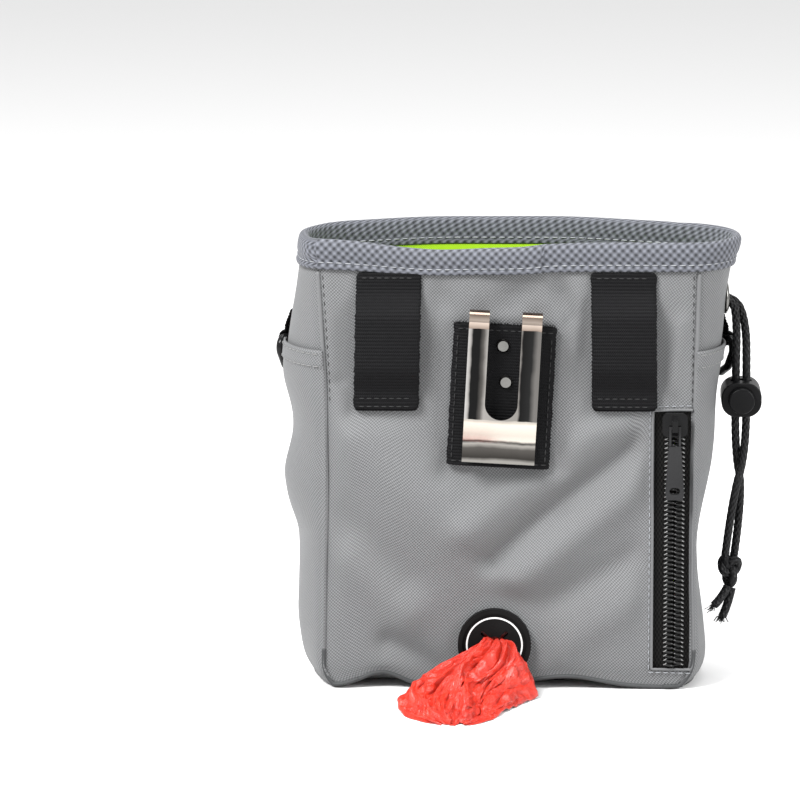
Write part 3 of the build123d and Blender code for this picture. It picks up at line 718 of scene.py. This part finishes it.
def back_point(f, z):
    """f from 0 at the left seam to 1 at the right seam; the zip's window keeps its place."""
    left, right = -SEAM_LEFT(z), SEAM_RIGHT(z)
    window_end = np.minimum(ZIP_X1, right - 0.6)
    in_window = ZIP_X0 + (window_end - ZIP_X0) * (f - ZIP_F0) / (ZIP_F1 - ZIP_F0)
    x = np.where(f < ZIP_F0, left + (ZIP_X0 - left) * f / ZIP_F0, in_window)
    x = np.where(f > ZIP_F1, window_end + (right - window_end) * (f - ZIP_F1) / (1 - ZIP_F1), x)
    edge = np.minimum(x - left, right - x)
    sewn = 1 - swell(edge, 0, 5.0)
    y = BACK_Y - back_relief(x, z) * calm(x, z) * sewn + swell(edge, 0, 2.0, 1.1)
    low = swell(z, 0, 7.0)
    corner = swell(edge, 0, 7.0) * swell(z, 0, 5.0)
    y = y + 1.2 * low * (1 - corner) + 0.6 * corner
    return np.stack([x, y, z + hem_lift(x) * low + rim_sway(x, z)], axis=-1)


def side_point(side, u, z, bulge=0.0):
    """u from 0 at the back seam to 1 at the front seam."""
    fold = FOLD_RIGHT if side > 0 else FOLD_LEFT
    seam = SEAM_RIGHT if side > 0 else SEAM_LEFT
    level = 0 * z
    x, y = arc3((seam(z), BACK_Y + level), (fold(z), FOLD_Y + level), (CORNER_X + level, CORNER_Y(z)), u)
    pinch = swell(np.minimum(u, 1 - u) * 56, 0, 2.2) + swell(z, 0, 5.0, 2.2)
    flutter = 0.7 * np.sin(u * 9 + z * 0.055 + side) * np.sin(PI * u) * np.sin(z * 0.06 + side * 2)
    out = np.stack([x - 45.0, y - FOLD_Y], axis=-1)
    out /= np.linalg.norm(out, axis=-1, keepdims=True)
    move = flutter - pinch + bulge
    sway = rim_sway(side * x, z) * np.clip(1 - u * 1.6, 0, 1)
    return np.stack([side * (x + out[..., 0] * move), y + out[..., 1] * move, z + sway], axis=-1)


def front_point(f, z, bulge=0.0):
    """f from 0 at the right seam to 1 at the left seam."""
    level = 0 * z
    middle = (level, FRONT_Y(z) + bulge * z / 170.4)
    x, y = arc3((CORNER_X + level, CORNER_Y(z)), middle, (-CORNER_X + level, CORNER_Y(z)), f)
    edge = np.minimum(f, 1 - f) * 135
    waves = 0.8 * np.sin(x * 0.11 + z * 0.03) * np.sin(z * 0.045 + 0.6) * (1 - swell(edge, 0, 14))
    y = y + waves - swell(edge, 0, 2.4, 1.1) - swell(z, 0, 5.0, 2.6)
    return np.stack([x, y, z + 0 * y], axis=-1)


def base_point(f, g):
    """The base, from the back hem (g = 0) to the front hem (g = 1)."""
    level = np.full_like(f, CLOTH_LOW)
    back, front = back_point(f, level), front_point(1 - f, level)
    x, y, _ = np.moveaxis(back * (1 - g)[..., None] + front * g[..., None], -1, 0)
    x = x + np.sign(x) * 4.0 * np.sin(PI * g) * upto(np.abs(x), 40, 70)
    return np.stack([x, y, back[..., 2] * swell(g, 0, 0.16) + 0.9], axis=-1)


def span(a, b, step):
    return np.linspace(a, b, int(round(abs(b - a) / step)) + 1)


def sheet_grid(fn, us, zs):
    return fn(*np.meshgrid(us, zs))


def gusset_grid(side, count, zs, bulge=0.0):
    """A gusset's grid, with its rows turned on the left so that both face outwards. bulge is a
    number or a function of height."""
    def point(u, z):
        return side_point(side, u, z, bulge(z) if callable(bulge) else bulge)

    p = sheet_grid(point, np.linspace(0, 1, count), zs)
    return p[:, ::-1] if side < 0 else p


def pocket_stand_off(z):
    """How far the outer pocket's layer lies off the cloth behind it: more along its folded hem."""
    return 1.15 + 0.55 * (z > POCKET_HEM)


def eye_cells(p):
    """The cells of the right gusset's grid that the drawcord's eyelet takes out."""
    mid = (p[:-1, :-1] + p[1:, 1:]) / 2
    return np.hypot(mid[..., 1] - EYE_Y, mid[..., 2] - EYE_Z) < 4.6


# Outer cloth


def back_cloth():
    """The back panel, open at the zip's window and at the port."""
    fs = [span(0, ZIP_F0, 0.0062)[:-1], np.linspace(ZIP_F0, ZIP_F1, 16)[:-1], np.linspace(ZIP_F1, 1, 3)]
    zs = [span(CLOTH_LOW, ZIP_Z0, 0.8)[:-1], span(ZIP_Z0, ZIP_Z1, 0.9)[:-1], span(ZIP_Z1, CLOTH_TOP, 0.9)]
    fs, zs = np.concatenate(fs), np.concatenate(zs)
    p = sheet_grid(back_point, fs, zs)
    mid = (p[:-1, :-1] + p[1:, 1:]) / 2
    mf, mz = np.meshgrid((fs[1:] + fs[:-1]) / 2, (zs[1:] + zs[:-1]) / 2)
    window = (mf > ZIP_F0) & (mf < ZIP_F1) & (mz > ZIP_Z0) & (mz < ZIP_Z1)
    port = np.hypot(mid[..., 0] - PORT_X, mid[..., 2] - PORT_Z) < 10.8
    cloth("back_cloth", p, OUTER_THICK, OXFORD, ["back_panel"], hole=window | port)


def gusset(side, name):
    """One gusset with its outer pocket layer and the pocket's two rows of stitches."""
    p = gusset_grid(side, 64, span(CLOTH_LOW, CLOTH_TOP, 1.0))
    hole = eye_cells(p) if side > 0 else None
    cloth(f"{name}_gusset_cloth", p, OUTER_THICK, OXFORD, [f"{name}_side_panel"], hole=hole)
    pocket = gusset_grid(side, 64, span(CLOTH_LOW, POCKET_TOP, 1.0), pocket_stand_off)
    cloth(f"{name}_pocket_cloth", pocket, POCKET_THICK, OXFORD, [f"pocket_{name}_side"])
    for level, tag in POCKET_STITCHES:
        lift = 1.9 if tag == "edge" else 1.75
        line = side_point(side, np.linspace(0.02, 0.98, 120), np.full(120, level), lift)
        stitches(f"{name}_pocket_stitch_{tag}", line, THREAD_LIGHT, 2.2, 0.9, 0.2)


def front_pocket_point(f, z):
    out = np.stack([0 * f, 1.1 + 0.5 * (z > POCKET_HEM), 0 * f], axis=-1)
    return front_point(f, z, POCKET_BULGE) + out


def front_cloth():
    """The front panel and the outer pocket on it."""
    across = np.linspace(0, 1, 120)
    p = sheet_grid(front_point, across, span(CLOTH_LOW, CLOTH_TOP, 1.4))
    cloth("front_cloth", p, OUTER_THICK, OXFORD, ["front_panel"])
    pocket = sheet_grid(front_pocket_point, across, span(CLOTH_LOW, POCKET_TOP, 1.3))
    cloth("front_pocket_cloth", pocket, POCKET_THICK, OXFORD, ["pocket_front"])
    for level, tag in POCKET_STITCHES:
        line = front_point(np.linspace(0.01, 0.99, 260), np.full(260, level), POCKET_BULGE)
        line[:, 1] += 1.75
        stitches(f"front_pocket_stitch_{tag}", line, THREAD_LIGHT, 2.2, 0.9, 0.2)


SIDES = ((1, "right"), (-1, "left"))
back_cloth()
for side, name in SIDES:
    gusset(side, name)
front_cloth()
p = sheet_grid(base_point, np.linspace(0, 1, 120), np.linspace(0, 1, 50))
cloth("base_cloth", p[:, ::-1], -POCKET_THICK, OXFORD, ["base_panel"])

# Lining and divider

EYELET_SECTION = [
    (3.7, -3.2), (3.65, -0.6), (3.75, 0.3), (4.2, 0.95), (4.9, 1.15), (5.6, 0.95), (6.2, 0.45),
    (6.35, 0.0), (6.2, -0.25), (5.2, -0.2), (4.4, -0.4), (4.2, -1.0), (4.2, -3.2), (3.7, -3.2),
]
DIVIDER_LINE = [
    (2.8, 1.8), (2.8, 34.0), (1.6, 38.5), (-26.4, 136.0), (-27.2, 141.0), (-27.4, 154.0),
    (-29.1, 160.0), (-29.3, 165.0),
]


def linings():
    levels = span(LINING_LOW, LINING_TOP, 2.4)
    p = sheet_grid(front_point, np.linspace(0, 1, 90), levels) - np.array([0, LINING_INSET, 0])
    cloth("front_lining", p, LINING_THICK, LIME, ["lining_front"])
    for side, name in SIDES:
        p = gusset_grid(side, 44, levels, -LINING_INSET)
        hole = eye_cells(p) if side > 0 else None
        cloth(f"{name}_lining", p, LINING_THICK, LIME, [f"lining_{name}"], hole=hole)


def eyelet():
    """The drawcord's eyelet: a rolled flange and a barrel through the gusset."""
    wall = side_point(1, np.linspace(0, 1, 300), np.full(300, EYE_Z))
    k = int(np.argmin(np.abs(wall[:150, 1] - EYE_Y)))
    along = wall[k + 3] - wall[k - 3]
    out = np.array([along[1], -along[0], 0.0]) / np.hypot(along[0], along[1])
    level = np.array([-out[1], out[0], 0.0])
    section = resample(EYELET_SECTION, 0.35)[:-1]
    a = np.linspace(0, 2 * PI, 72, endpoint=False)[:, None]
    circle = level * np.cos(a) + UP * np.sin(a)
    rings = np.stack([wall[k] + out * height + circle * radius for radius, height in section])
    faces = grid_faces(len(section), 72, True, True, flip=True)
    add_mesh("eyelet_ring", rings.reshape(-1, 3), faces, RIVET, replaces=["cord_eyelet"])


def inner_x(side, y, z, inset):
    """Where the gusset's inner face stands at each depth y and height z."""
    walls = (side_point(side, np.linspace(0, 1, 80), np.full(80, level), -inset) for level in z)
    return np.array([np.interp(depth, wall[:, 1], wall[:, 0]) for depth, wall in zip(y, walls)])


def divider():
    """The sheet between the treats and the bags: up the middle, then back to the near rim."""
    line = resample(DIVIDER_LINE, 1.6)
    left, right = (inner_x(side, line[:, 0], line[:, 1], 2.4)[:, None] for side in (-1, 1))
    f = np.linspace(0, 1, 90)[None, :]
    x = left * (1 - f) + right * f
    y, z = line[:, :1] + 0 * x, line[:, 1:] + 0 * x
    z = z + rim_sway(x, z)
    y = y + 0.5 * np.sin(x * 0.12 + z * 0.05) * np.sin(PI * f) * upto(z, 150, 120)
    cloth("divider_lining", np.stack([x, y, z], axis=-1), -LINING_THICK, LIME, ["divider_panel"])


linings()
eyelet()
p = sheet_grid(base_point, np.linspace(0.02, 0.98, 100), np.linspace(0.03, 0.97, 44)) + UP
cloth("base_lining", p[:, ::-1], -0.4, LIME, ["lining_base"])
divider()

# Rim binding, casing and the cord inside it

TURNED = [(math.cos(a), math.sin(a)) for a in np.linspace(0, PI, 9)[1:-1]]
BINDING_SECTION = [
    (0.75, 160.5), (1.25, 160.4), (1.55, 161.0), (1.35, 162.0), (0.95, 162.9), (1.2, 163.9),
    (1.6, 165.4), (1.65, 167.4), (1.45, 169.2), *((-0.6 + 1.9 * c, 169.4 + 2.0 * s) for c, s in TURNED),
    (-2.5, 168.8), (-2.75, 166.5), (-2.55, 163.6), (-2.75, 161.6), (-2.3, 160.7), (-1.8, 160.9),
    (-1.4, 163.5), (-1.2, 166.5), (-0.6, 168.6), (0.1, 168.0), (0.4, 165.0), (0.75, 160.5),
]
CASING_SECTION = [
    (-1.8, 141.2), (-4.6, 142.0), (-6.6, 144.4), (-6.9, 147.0), (-6.6, 149.6), (-4.6, 152.0),
    (-1.8, 152.8), (-1.9, 151.8), (-4.3, 151.0), (-5.9, 149.2), (-6.2, 147.0), (-5.9, 144.8),
    (-4.3, 143.0), (-1.9, 142.2), (-1.8, 141.2),
]


def rim_ring(level, offset):
    """A closed outline round the mouth at a height, moved outwards by an offset, and its normals."""
    def part(fn, count):
        return fn(np.linspace(0, 1, count)[:-1], np.full(count - 1, float(level)))

    outline = np.concatenate([
        part(back_point, 150),
        part(lambda u, z: side_point(1, u, z), 60),
        part(front_point, 150),
        part(lambda u, z: side_point(-1, 1 - u, z), 60),
    ])
    for _ in range(5):
        outline = (np.roll(outline, 1, axis=0) + outline * 2 + np.roll(outline, -1, axis=0)) / 4
    t = np.roll(outline, -1, axis=0) - np.roll(outline, 1, axis=0)
    n = np.stack([t[:, 1], -t[:, 0], 0 * t[:, 0]], axis=1)
    n /= np.linalg.norm(n, axis=1, keepdims=True)
    return outline + n * offset, n


def lay_lap(p):
    """The binding's end laps over its start on the near rim, so the tape stands out there."""
    near = (p[:, 1] < -28) & (p[:, 0] < 13.2)
    p[:, 1] -= 1.1 * np.where(near, upto(p[:, 0], -12, -2), 0)


def band_round(name, section, look, replaces, ripple=0.0, lap=False):
    """A closed band round the mouth; section is (offset, height) all the way round it."""
    rings = []
    for offset, level in section:
        p, n = rim_ring(min(level, CLOTH_TOP), offset)
        p[:, 2] += level - min(level, CLOTH_TOP)
        if ripple:
            p += n * (ripple * np.sin(lengths(p) * 0.55 + level * 0.2))[:, None]
        if lap and offset > 0:
            lay_lap(p)
        rings.append(p)
    p = np.stack(rings + rings[:1])
    closed = np.concatenate([p, p[:, :1]], axis=1)
    faces = grid_faces(*closed.shape[:2], flip=True)
    uv = grid_uv(closed).reshape(-1, 2)
    add_mesh(name, closed.reshape(-1, 3), faces, look, uv=uv, replaces=replaces)


band_round("rim_binding_tape", resample(BINDING_SECTION, 0.7)[:-1], BINDING, ["rim_binding"], lap=True)
for level, offset, tag in ((163.0, 1.22, "near"), (163.4, -2.75, "inner")):
    ring, _ = rim_ring(level, offset)
    if offset > 0:
        lay_lap(ring)
    stitches(f"rim_stitch_{tag}", np.concatenate([ring, ring[:1]]), THREAD_GREY, 2.3, 1.1)
band_round("drawcord_channel", resample(CASING_SECTION, 1.0)[:-1], LIME, ["drawcord_casing"], ripple=0.35)
ring, _ = rim_ring(EYE_Z, -4.2)
ring = np.roll(ring, -int(np.argmin(np.hypot(ring[:, 0] - 80, ring[:, 1] - EYE_Y))), axis=0)
verts, faces, uv = braid(resample(np.concatenate([ring[2:], ring[:1]]), 0.6), 1.5, 18)
add_mesh("drawcord_in_channel", verts, faces, CORD, uv=uv, replaces=["drawcord_loop"])

# Seams on the back panel


def lay_tube(name, line, radius, look, around=8):
    add_mesh(name, *tube(line, radius, around), look)


def side_seam(side, f, tag):
    """The welt and stitches along one side of the back panel, and the piping at its foot."""
    def line_along(fs, zs, forward, up=0.0):
        line = back_point(*np.broadcast_arrays(fs, zs))
        return line - np.array([0, forward, -up])

    lay_tube(f"{tag}_back_seam_welt", line_along(f, span(1.2, 159.5, 1.0), 0.25), 0.75, OXFORD)
    near = line_along(f - side * 0.012, span(110.0, 159.0, 1.0), 0.15)
    stitches(f"{tag}_back_seam_stitch", near, THREAD_DARK, 1.6, 1.7, 0.16)
    foot = np.linspace(0.93, 0.997, 20) if side > 0 else np.linspace(0.07, 0.003, 20)
    low, rise = line_along(foot, 0.9, 0.5, 0.35), line_along(f, np.linspace(1.4, 15.0, 16), 0.5, 0.35)
    lay_tube(f"{tag}_corner_piping", resample(np.concatenate([low, rise]), 0.8), 0.8, PIPING, 10)


side_seam(-1, 0.0, "left")
side_seam(1, 1.0, "right")
hem = back_point(np.linspace(0.06, 0.94, 200), np.full(200, 0.9))
hem[:, 1] -= 0.1
lay_tube("back_hem_welt", hem, 0.8, PIPING)

# Webbing

LOOP_LINE = [
    (0.75, 160.0), (0.85, 152.4), (5.5, 144.0), (5.65, 134.0), (5.6, 123.6), (2.2, 115.6), (1.9, 108.2)
]
TURN_LINE = [(0.75, 114.8), (0.85, 111.0), (0.85, 107.4)]
LOOP_STITCHES = ((158.0, 1.6), (112.4, 2.8), (109.3, 2.75))
PATCH_LINE = [(1.75, -31.0), (1.8, -4.0), (1.75, 23.2)]


def bent(points, radius=3.0):
    """A line with its corners eased."""
    fine = resample(points, 0.25)
    reach = int(radius / 0.25)
    kernel = np.hanning(2 * reach + 3)[1:-1]
    kernel /= kernel.sum()
    padded = np.concatenate([np.repeat(fine[:1], reach, 0), fine, np.repeat(fine[-1:], reach, 0)])
    soft = np.stack([np.convolve(padded[:, k], kernel, "valid") for k in range(fine.shape[1])], axis=1)
    soft[0], soft[-1] = fine[0], fine[-1]
    return soft


def webbing(name, line, place, width, thick, pitch=1.33, rib=0.24, fray=0.3, replaces=(), ends=1.6):
    """A woven band. line is points (stand-off, height) along it; place turns (across, stand-off,
    height) into the frame's axes. ends is the rounding of its corners."""
    per_rib = 6
    line = resample(line, pitch / per_rib)
    s = lengths(line)
    t = np.gradient(line, axis=0)
    t /= np.linalg.norm(t, axis=1, keepdims=True)
    out = np.stack([-t[:, 1], t[:, 0]], axis=1)
    if out[len(out) // 2, 0] < 0:
        out = -out
    ribs = np.abs(np.sin(PI * s / pitch)) ** 0.7
    knots = int(s[-1] / pitch) + 2
    wander = np.interp(s, np.linspace(0, s[-1], knots), rng.normal(0, 0.12, knots))
    to_end = np.minimum(s, s[-1] - s)
    narrow = np.where(to_end < ends, ends - np.sqrt(np.maximum(ends**2 - (ends - to_end) ** 2, 0)), 0)
    half_width = width / 2 - fray * (1 - ribs) + wander - narrow
    q = np.linspace(-1, 1, 34)
    slim = 1 - 0.55 * np.abs(q) ** 14
    rows = []
    for k, raised in enumerate(ribs):
        across = q * half_width[k]
        yarn = 0.05 * np.sin(q * 40 + k * PI * pitch / per_rib)
        front = thick / 2 * slim - rib * (1 - raised) + yarn * raised * 0.5
        rear = -thick / 2 * slim + rib * (1 - raised) * 0.6
        flat = line[k] + out[k] * np.concatenate([front, rear[::-1]])[:, None]
        rows.append(place(np.concatenate([across, across[::-1]]), flat[:, 0], flat[:, 1]))
    p = np.stack(rows)
    faces = grid_faces(*p.shape[:2], False, True) + end_caps(*p.shape[:2])
    wide = np.concatenate([q, q[::-1] + 2.2]) * width / 2 * MM
    uv = np.stack(np.broadcast_arrays(wide[None], (s * MM)[:, None]), axis=2).reshape(-1, 2)
    add_mesh(name, p.reshape(-1, 3), faces, WEBBING, uv=uv, replaces=replaces)


def belt_loop(name, lean):
    """One belt loop: the band with its rise, the turned-under end and three rows of stitches."""
    middle = centre(f"{name}_belt_loop")[0]

    def place(u, off, z):
        return np.stack([middle + u + lean * (z - 130), BACK_Y - off, z], axis=1)

    webbing(f"{name}_loop_webbing", bent(LOOP_LINE), place, 24.7, 1.45, replaces=[f"{name}_belt_loop"])
    webbing(f"{name}_loop_turn", bent(TURN_LINE), place, 24.3, 1.2)
    for level, off in LOOP_STITCHES:
        line = place(np.linspace(-10.6, 10.6, 60), np.full(60, off), np.full(60, level))
        stitches(f"{name}_loop_stitch_{int(level)}", line, THREAD_DARK)


def clip_place(u, off, v):
    """From across and along the leaning clip to the frame's axes."""
    x = CLIP_X + u * math.cos(CLIP_LEAN) + v * math.sin(CLIP_LEAN)
    return np.stack([x, BACK_Y - off, CLIP_Z - u * math.sin(CLIP_LEAN) + v * math.cos(CLIP_LEAN)], axis=1)


def clip_patch():
    """The patch under the clip, stitched all round, with a frayed top edge."""
    weave = {"pitch": 1.15, "rib": 0.22, "fray": 0.35, "ends": 0.9}
    webbing("clip_patch_webbing", bent(PATCH_LINE), clip_place, 38.8, 3.1, replaces=["clip_patch"], **weave)
    for v, tag in ((21.2, "top"), (-29.2, "low")):
        line = clip_place(np.linspace(-18.0, 18.0, 90), np.full(90, 3.35), np.full(90, v))
        stitches(f"patch_stitch_{tag}", line, THREAD_DARK)
    for u, tag in ((-17.6, "left"), (17.6, "right")):
        line = clip_place(np.full(90, u), np.full(90, 3.3), np.linspace(-28.5, 20.5, 90))
        stitches(f"patch_stitch_{tag}", line, THREAD_DARK, radius=0.22)
    parts = []
    for _ in range(90):
        across = rng.uniform(-18.8, 18.8)
        root = clip_place(np.array([across]), np.array([rng.uniform(0.6, 2.8)]), np.array([22.9]))[0]
        up = np.array([rng.normal(0.05, 0.5), rng.normal(-0.2, 0.4), rng.uniform(0.5, 1.3)])
        parts.append(tube(np.array([root, root + up * 0.5 + rng.normal(0, 0.1, 3), root + up]), 0.11, 5))
    add_mesh("patch_frayed_edge", *join(parts), WEBBING)


def ring_tab(side, name):
    """The webbing that goes round the D-ring's bar and into the gusset's seam."""
    yaw = math.radians(25)
    out = np.array([side * math.cos(yaw), math.sin(yaw), 0.0])
    along = np.array([-side * math.sin(yaw), math.cos(yaw), 0.0])
    bar = np.array([side * 77.2, 8.0, 129.4]) + out * 3.5

    def place(u, off, z):
        return bar + along * u[:, None] + out * off[:, None] + UP * z[:, None]

    round_bar = [(2.45 * math.cos(a), 2.45 * math.sin(a)) for a in np.linspace(PI * 0.55, -PI * 0.75, 26)]
    line = [(-2.6, 11.0), (-1.6, 8.0), (-0.2, 4.4), *round_bar, (-2.5, 0.6), (-3.0, 4.0), (-3.3, 9.0)]
    name = f"{name}_ring"
    webbing(f"{name}_webbing", bent(line, 1.0), place, 19.0, 1.15, 1.2, 0.18, replaces=[f"{name}_tab"])


belt_loop("left", 0.022)
belt_loop("right", -0.012)
clip_patch()
ring_tab(-1, "left")
ring_tab(1, "right")

# Zip

TOOTH = 1.7
COIL_R, COIL_DEPTH = 1.75, 0.85


def zip_tape(x0, x1, name):
    x, z = np.meshgrid(span(x0, x1, 0.5), span(7.2, 107.9, 0.8))
    p = np.stack([x, BACK_Y + 1.35 + 0 * x, z], axis=-1)
    cloth(f"zip_{name}_cloth", p, LINING_THICK, TAPE, [f"zip_tape_{name}"])


def zip_coil(middle, phase, name):
    turns = int(97.2 / TOOTH)
    a = np.linspace(0, 2 * PI * turns, turns * 16)
    x, y = middle + COIL_R * np.cos(a + phase), BACK_Y - 0.35 - COIL_DEPTH * np.sin(a + phase)
    verts, faces = tube(np.stack([x, y, 9.3 + a / (2 * PI) * TOOTH], axis=1), 0.43, 7)
    add_mesh(f"zip_{name}_coil_wire", verts, faces, NYLON, replaces=[f"zip_coil_{name}"])


def coil_stitches():
    """A slanted stitch over each turn of both coils."""
    parts = []
    for k in range(56):
        z = 10.2 + k * TOOTH
        for x, tilt in ((60.2, 0.35), (66.4, -0.35)):
            crown, foot = BACK_Y - 1.35, BACK_Y - 0.85
            line = [(x - 0.6, foot, z - tilt), (x, crown, z), (x + 0.6, foot, z + tilt)]
            parts.append(tube(line, 0.2, 5))
    add_mesh("zip_coil_stitch", *join(parts), THREAD_LIGHT)


def window_line(points, lift, step):
    return resample([(x, BACK_Y + lift, z) for x, z in points], step)


zip_tape(53.4, 63.2, "left")
zip_tape(63.5, 69.6, "right")
zip_coil(61.5, 0.0, "left")
zip_coil(65.1, PI, "right")
coil_stitches()
line = window_line([(70.0, 109.4), (54.0, 108.9), (54.0, 6.8), (70.0, 6.4)], -0.12, 0.5)
stitches("zip_window_stitch", line, THREAD_GREY, radius=0.22)
lip = window_line([(70.0, 107.8), (55.1, 107.5), (55.1, 7.9), (70.0, 7.8)], 0.15, 0.8)
lay_tube("zip_window_turned_edge", lip, 0.55, OXFORD)

# Waste bags: the roll and the film pulled through the port


def bag_roll():
    """Five turns of film round the core, seen as a spiral at the ends."""
    inside, outside, film_step = 6.9, 13.6, 0.55
    a = np.linspace(0, 2 * PI * 5, 420)
    r = inside + (outside - inside) * a / a[-1]
    spiral = np.stack([r * np.cos(a), r * np.sin(a)], axis=1)
    section = np.concatenate([spiral, (spiral * (1 - film_step / r)[:, None])[::-1]])
    core = (CORE_LOW + CORE_HIGH) / 2
    xs = np.linspace(CORE_LOW[0] - 0.5, CORE_HIGH[0] - 0.5, 34)
    wobble = 1 + 0.0024 * np.sin(xs * 0.7)
    rows = [
        np.stack([np.full(len(section), x), core[1] + section[:, 0] * w, core[2] + section[:, 1]], axis=1)
        for x, w in zip(xs, wobble)
    ]
    p = np.stack(rows)
    count = len(section)
    faces = grid_faces(len(p), count, False, True)
    for base, flip in ((0, False), ((len(p) - 1) * count, True)):
        for k in range(len(spiral) - 1):
            quad = (base + k, base + k + 1, base + count - 2 - k, base + count - 1 - k)
            faces.append(quad[::-1] if flip else quad)
    add_mesh("bag_roll_layers", p.reshape(-1, 3), faces, FILM, "roll", replaces=["bag_roll"])


# The film's outline, crest, two edges' heights and crease depth, each by distance out from Y = 0
FILM_LEFT = [
    (30, -7.5), (35, -8.5), (37.5, -13), (42, -20), (49, -29), (56, -36), (64, -39.5), (72, -38),
    (80, -34), (86, -28), (90, -22),
]
FILM_RIGHT = [
    (30, -1), (35, 0.5), (37.5, 5.5), (41, 11), (46, 13), (52, 9), (58, 5), (66, 2.5), (76, -1),
    (84, -7), (90, -14),
]
FILM_CREST = [
    (30, 17.6), (34, 19.0), (37, 22.0), (40, 22.6), (46, 19.6), (54, 14.6), (64, 9.6), (76, 5.6), (90, 1.8)
]
FILM_LEFT_Z = [(30, 17.6), (36, 18.0), (42, 14.5), (52, 9.0), (60, 6.5), (70, 3.0), (90, 0.9)]
FILM_RIGHT_Z = [(30, 17.6), (36, 14.0), (40, 7.0), (44, 3.4), (50, 1.8), (90, 0.8)]
FILM_CREASE = [(30, 0.5), (36, 2.4), (42, 7.0), (50, 8.0), (60, 6.5), (90, 3.0)]
FILM_START, FILM_REACH = 30.0, 59.0


def folds(t, s, seed, sharp):
    """Ridged creases over a sheet, from -1 to 1."""
    draw = np.random.default_rng(seed)
    total, weight = 0, 0
    for k in range(7):
        a, b, c = draw.normal(0, 1, 3)
        crease = np.abs(np.sin(1.3 * 1.5**k * (t * (1 + 0.2 * a) + s * 0.45 * b) + c * 3))
        total = total + (1 - 2 * crease**sharp) / 1.35**k
        weight += 1 / 1.35**k
    return total / weight


def film_grid():
    """The film from the port's slit down to the floor, spreading into a creased fan."""
    u, s = np.meshgrid(np.linspace(0, 1, 190), np.linspace(0, 1, 150))
    out = FILM_START + FILM_REACH * s
    left, right, crest, left_z, right_z, crease = (
        np.interp(out, *zip(*pairs))
        for pairs in (FILM_LEFT, FILM_RIGHT, FILM_CREST, FILM_LEFT_Z, FILM_RIGHT_Z, FILM_CREASE)
    )
    spread = upto(out, 36, 54)
    fan = np.sin(PI * u) ** 0.7
    edges = left_z + (right_z - left_z) * u
    x = left + (right - left) * u + 2.6 * spread * folds(u * 6.0, s * 6.0, 5, 1.0)
    y = -out + 3.0 * spread * folds(u * 7.0, s * 4.0, 8, 1.0) - 0.5 * spread * np.sin(PI * u)
    z = edges + (crest - edges) * fan
    z = z + crease * folds(u * 4.2, s * 2.6, 3, 0.9) * (0.35 + 0.65 * fan)
    z = z + 2.2 * spread * folds(u * 9.0, s * 11.0, 11, 0.8)
    floor_gap = 0.45 + 0.25 * folds(u * 13.0, s * 13.0, 2, 1.0)
    return np.stack([x, y, np.maximum(z, floor_gap)], axis=-1)


bag_roll()
film = cloth("bag_film_sheet", film_grid(), 0.12, FILM, ["bag_tail"], outside=0.12, body=None)
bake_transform(film)

# Looks of the moulded and metal nodes

NODE_LOOKS = {
    "clip_back_leaf": STEEL,
    "clip_front_leaf": CHROME_PAINTED_REFLECTION,
    "clip_rivets": RIVET,
    "zip_slider": ENAMEL,
    "zip_pull": PULL,
    "port_grommet": RUBBER,
    "port_ring": WHITE,
    "left_d_ring": GLOSS,
    "right_d_ring": GLOSS,
    "cord_lock_body": LOCK,
    "cord_lock_button": LOCK,
    "roll_core": CARD,
}
for name, look in NODE_LOOKS.items():
    held = frame["nodes"][name]
    held.data.materials.clear()
    held.data.materials.append(look)

# A pass over the added pieces on bodies, which sets nothing
for obj in list(bpy.context.scene.objects):
    if obj.type != "MESH" or "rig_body" not in obj or obj.name in frame["nodes"]:
        continue

# Floor and light

PAPER = material("white_paper", (0.62, 0.62, 0.62), 0.9, Specular_IOR_Level=0.1)
floor_mesh = bpy.data.meshes.new("floor")
floor_mesh.from_pydata([(-6, -6, 0), (6, -6, 0), (6, 6, 0), (-6, 6, 0)], [], [(0, 1, 2, 3)])
floor_mesh.materials.append(PAPER)
floor = bpy.data.objects.new("floor", floor_mesh)
bpy.context.scene.collection.objects.link(floor)

world = bpy.data.worlds.new("studio")
bpy.context.scene.world = world
world.use_nodes = True
world.node_tree.nodes["Background"].inputs["Color"].default_value = (1, 1, 1, 1)
world.node_tree.nodes["Background"].inputs["Strength"].default_value = 1.0


def area_light(name, where, aim, size, power):
    data = bpy.data.lights.new(name, "AREA")
    data.shape = "RECTANGLE"
    data.size, data.size_y = size
    data.energy = power
    lamp = bpy.data.objects.new(name, data)
    bpy.context.scene.collection.objects.link(lamp)
    lamp.location = where
    lamp.rotation_euler = (Vector(aim) - Vector(where)).to_track_quat("-Z", "Y").to_euler()
    return lamp


area_light("key", (-0.75, -0.75, 1.15), (0, 0, 0.08), (0.6, 0.6), 58.0)
area_light("fill", (1.2, -0.7, 0.7), (0, 0, 0.08), (0.6, 0.9), 24.0)
area_light("top", (0.1, 0.1, 1.3), (0, 0, 0.1), (0.9, 0.6), 12.0)
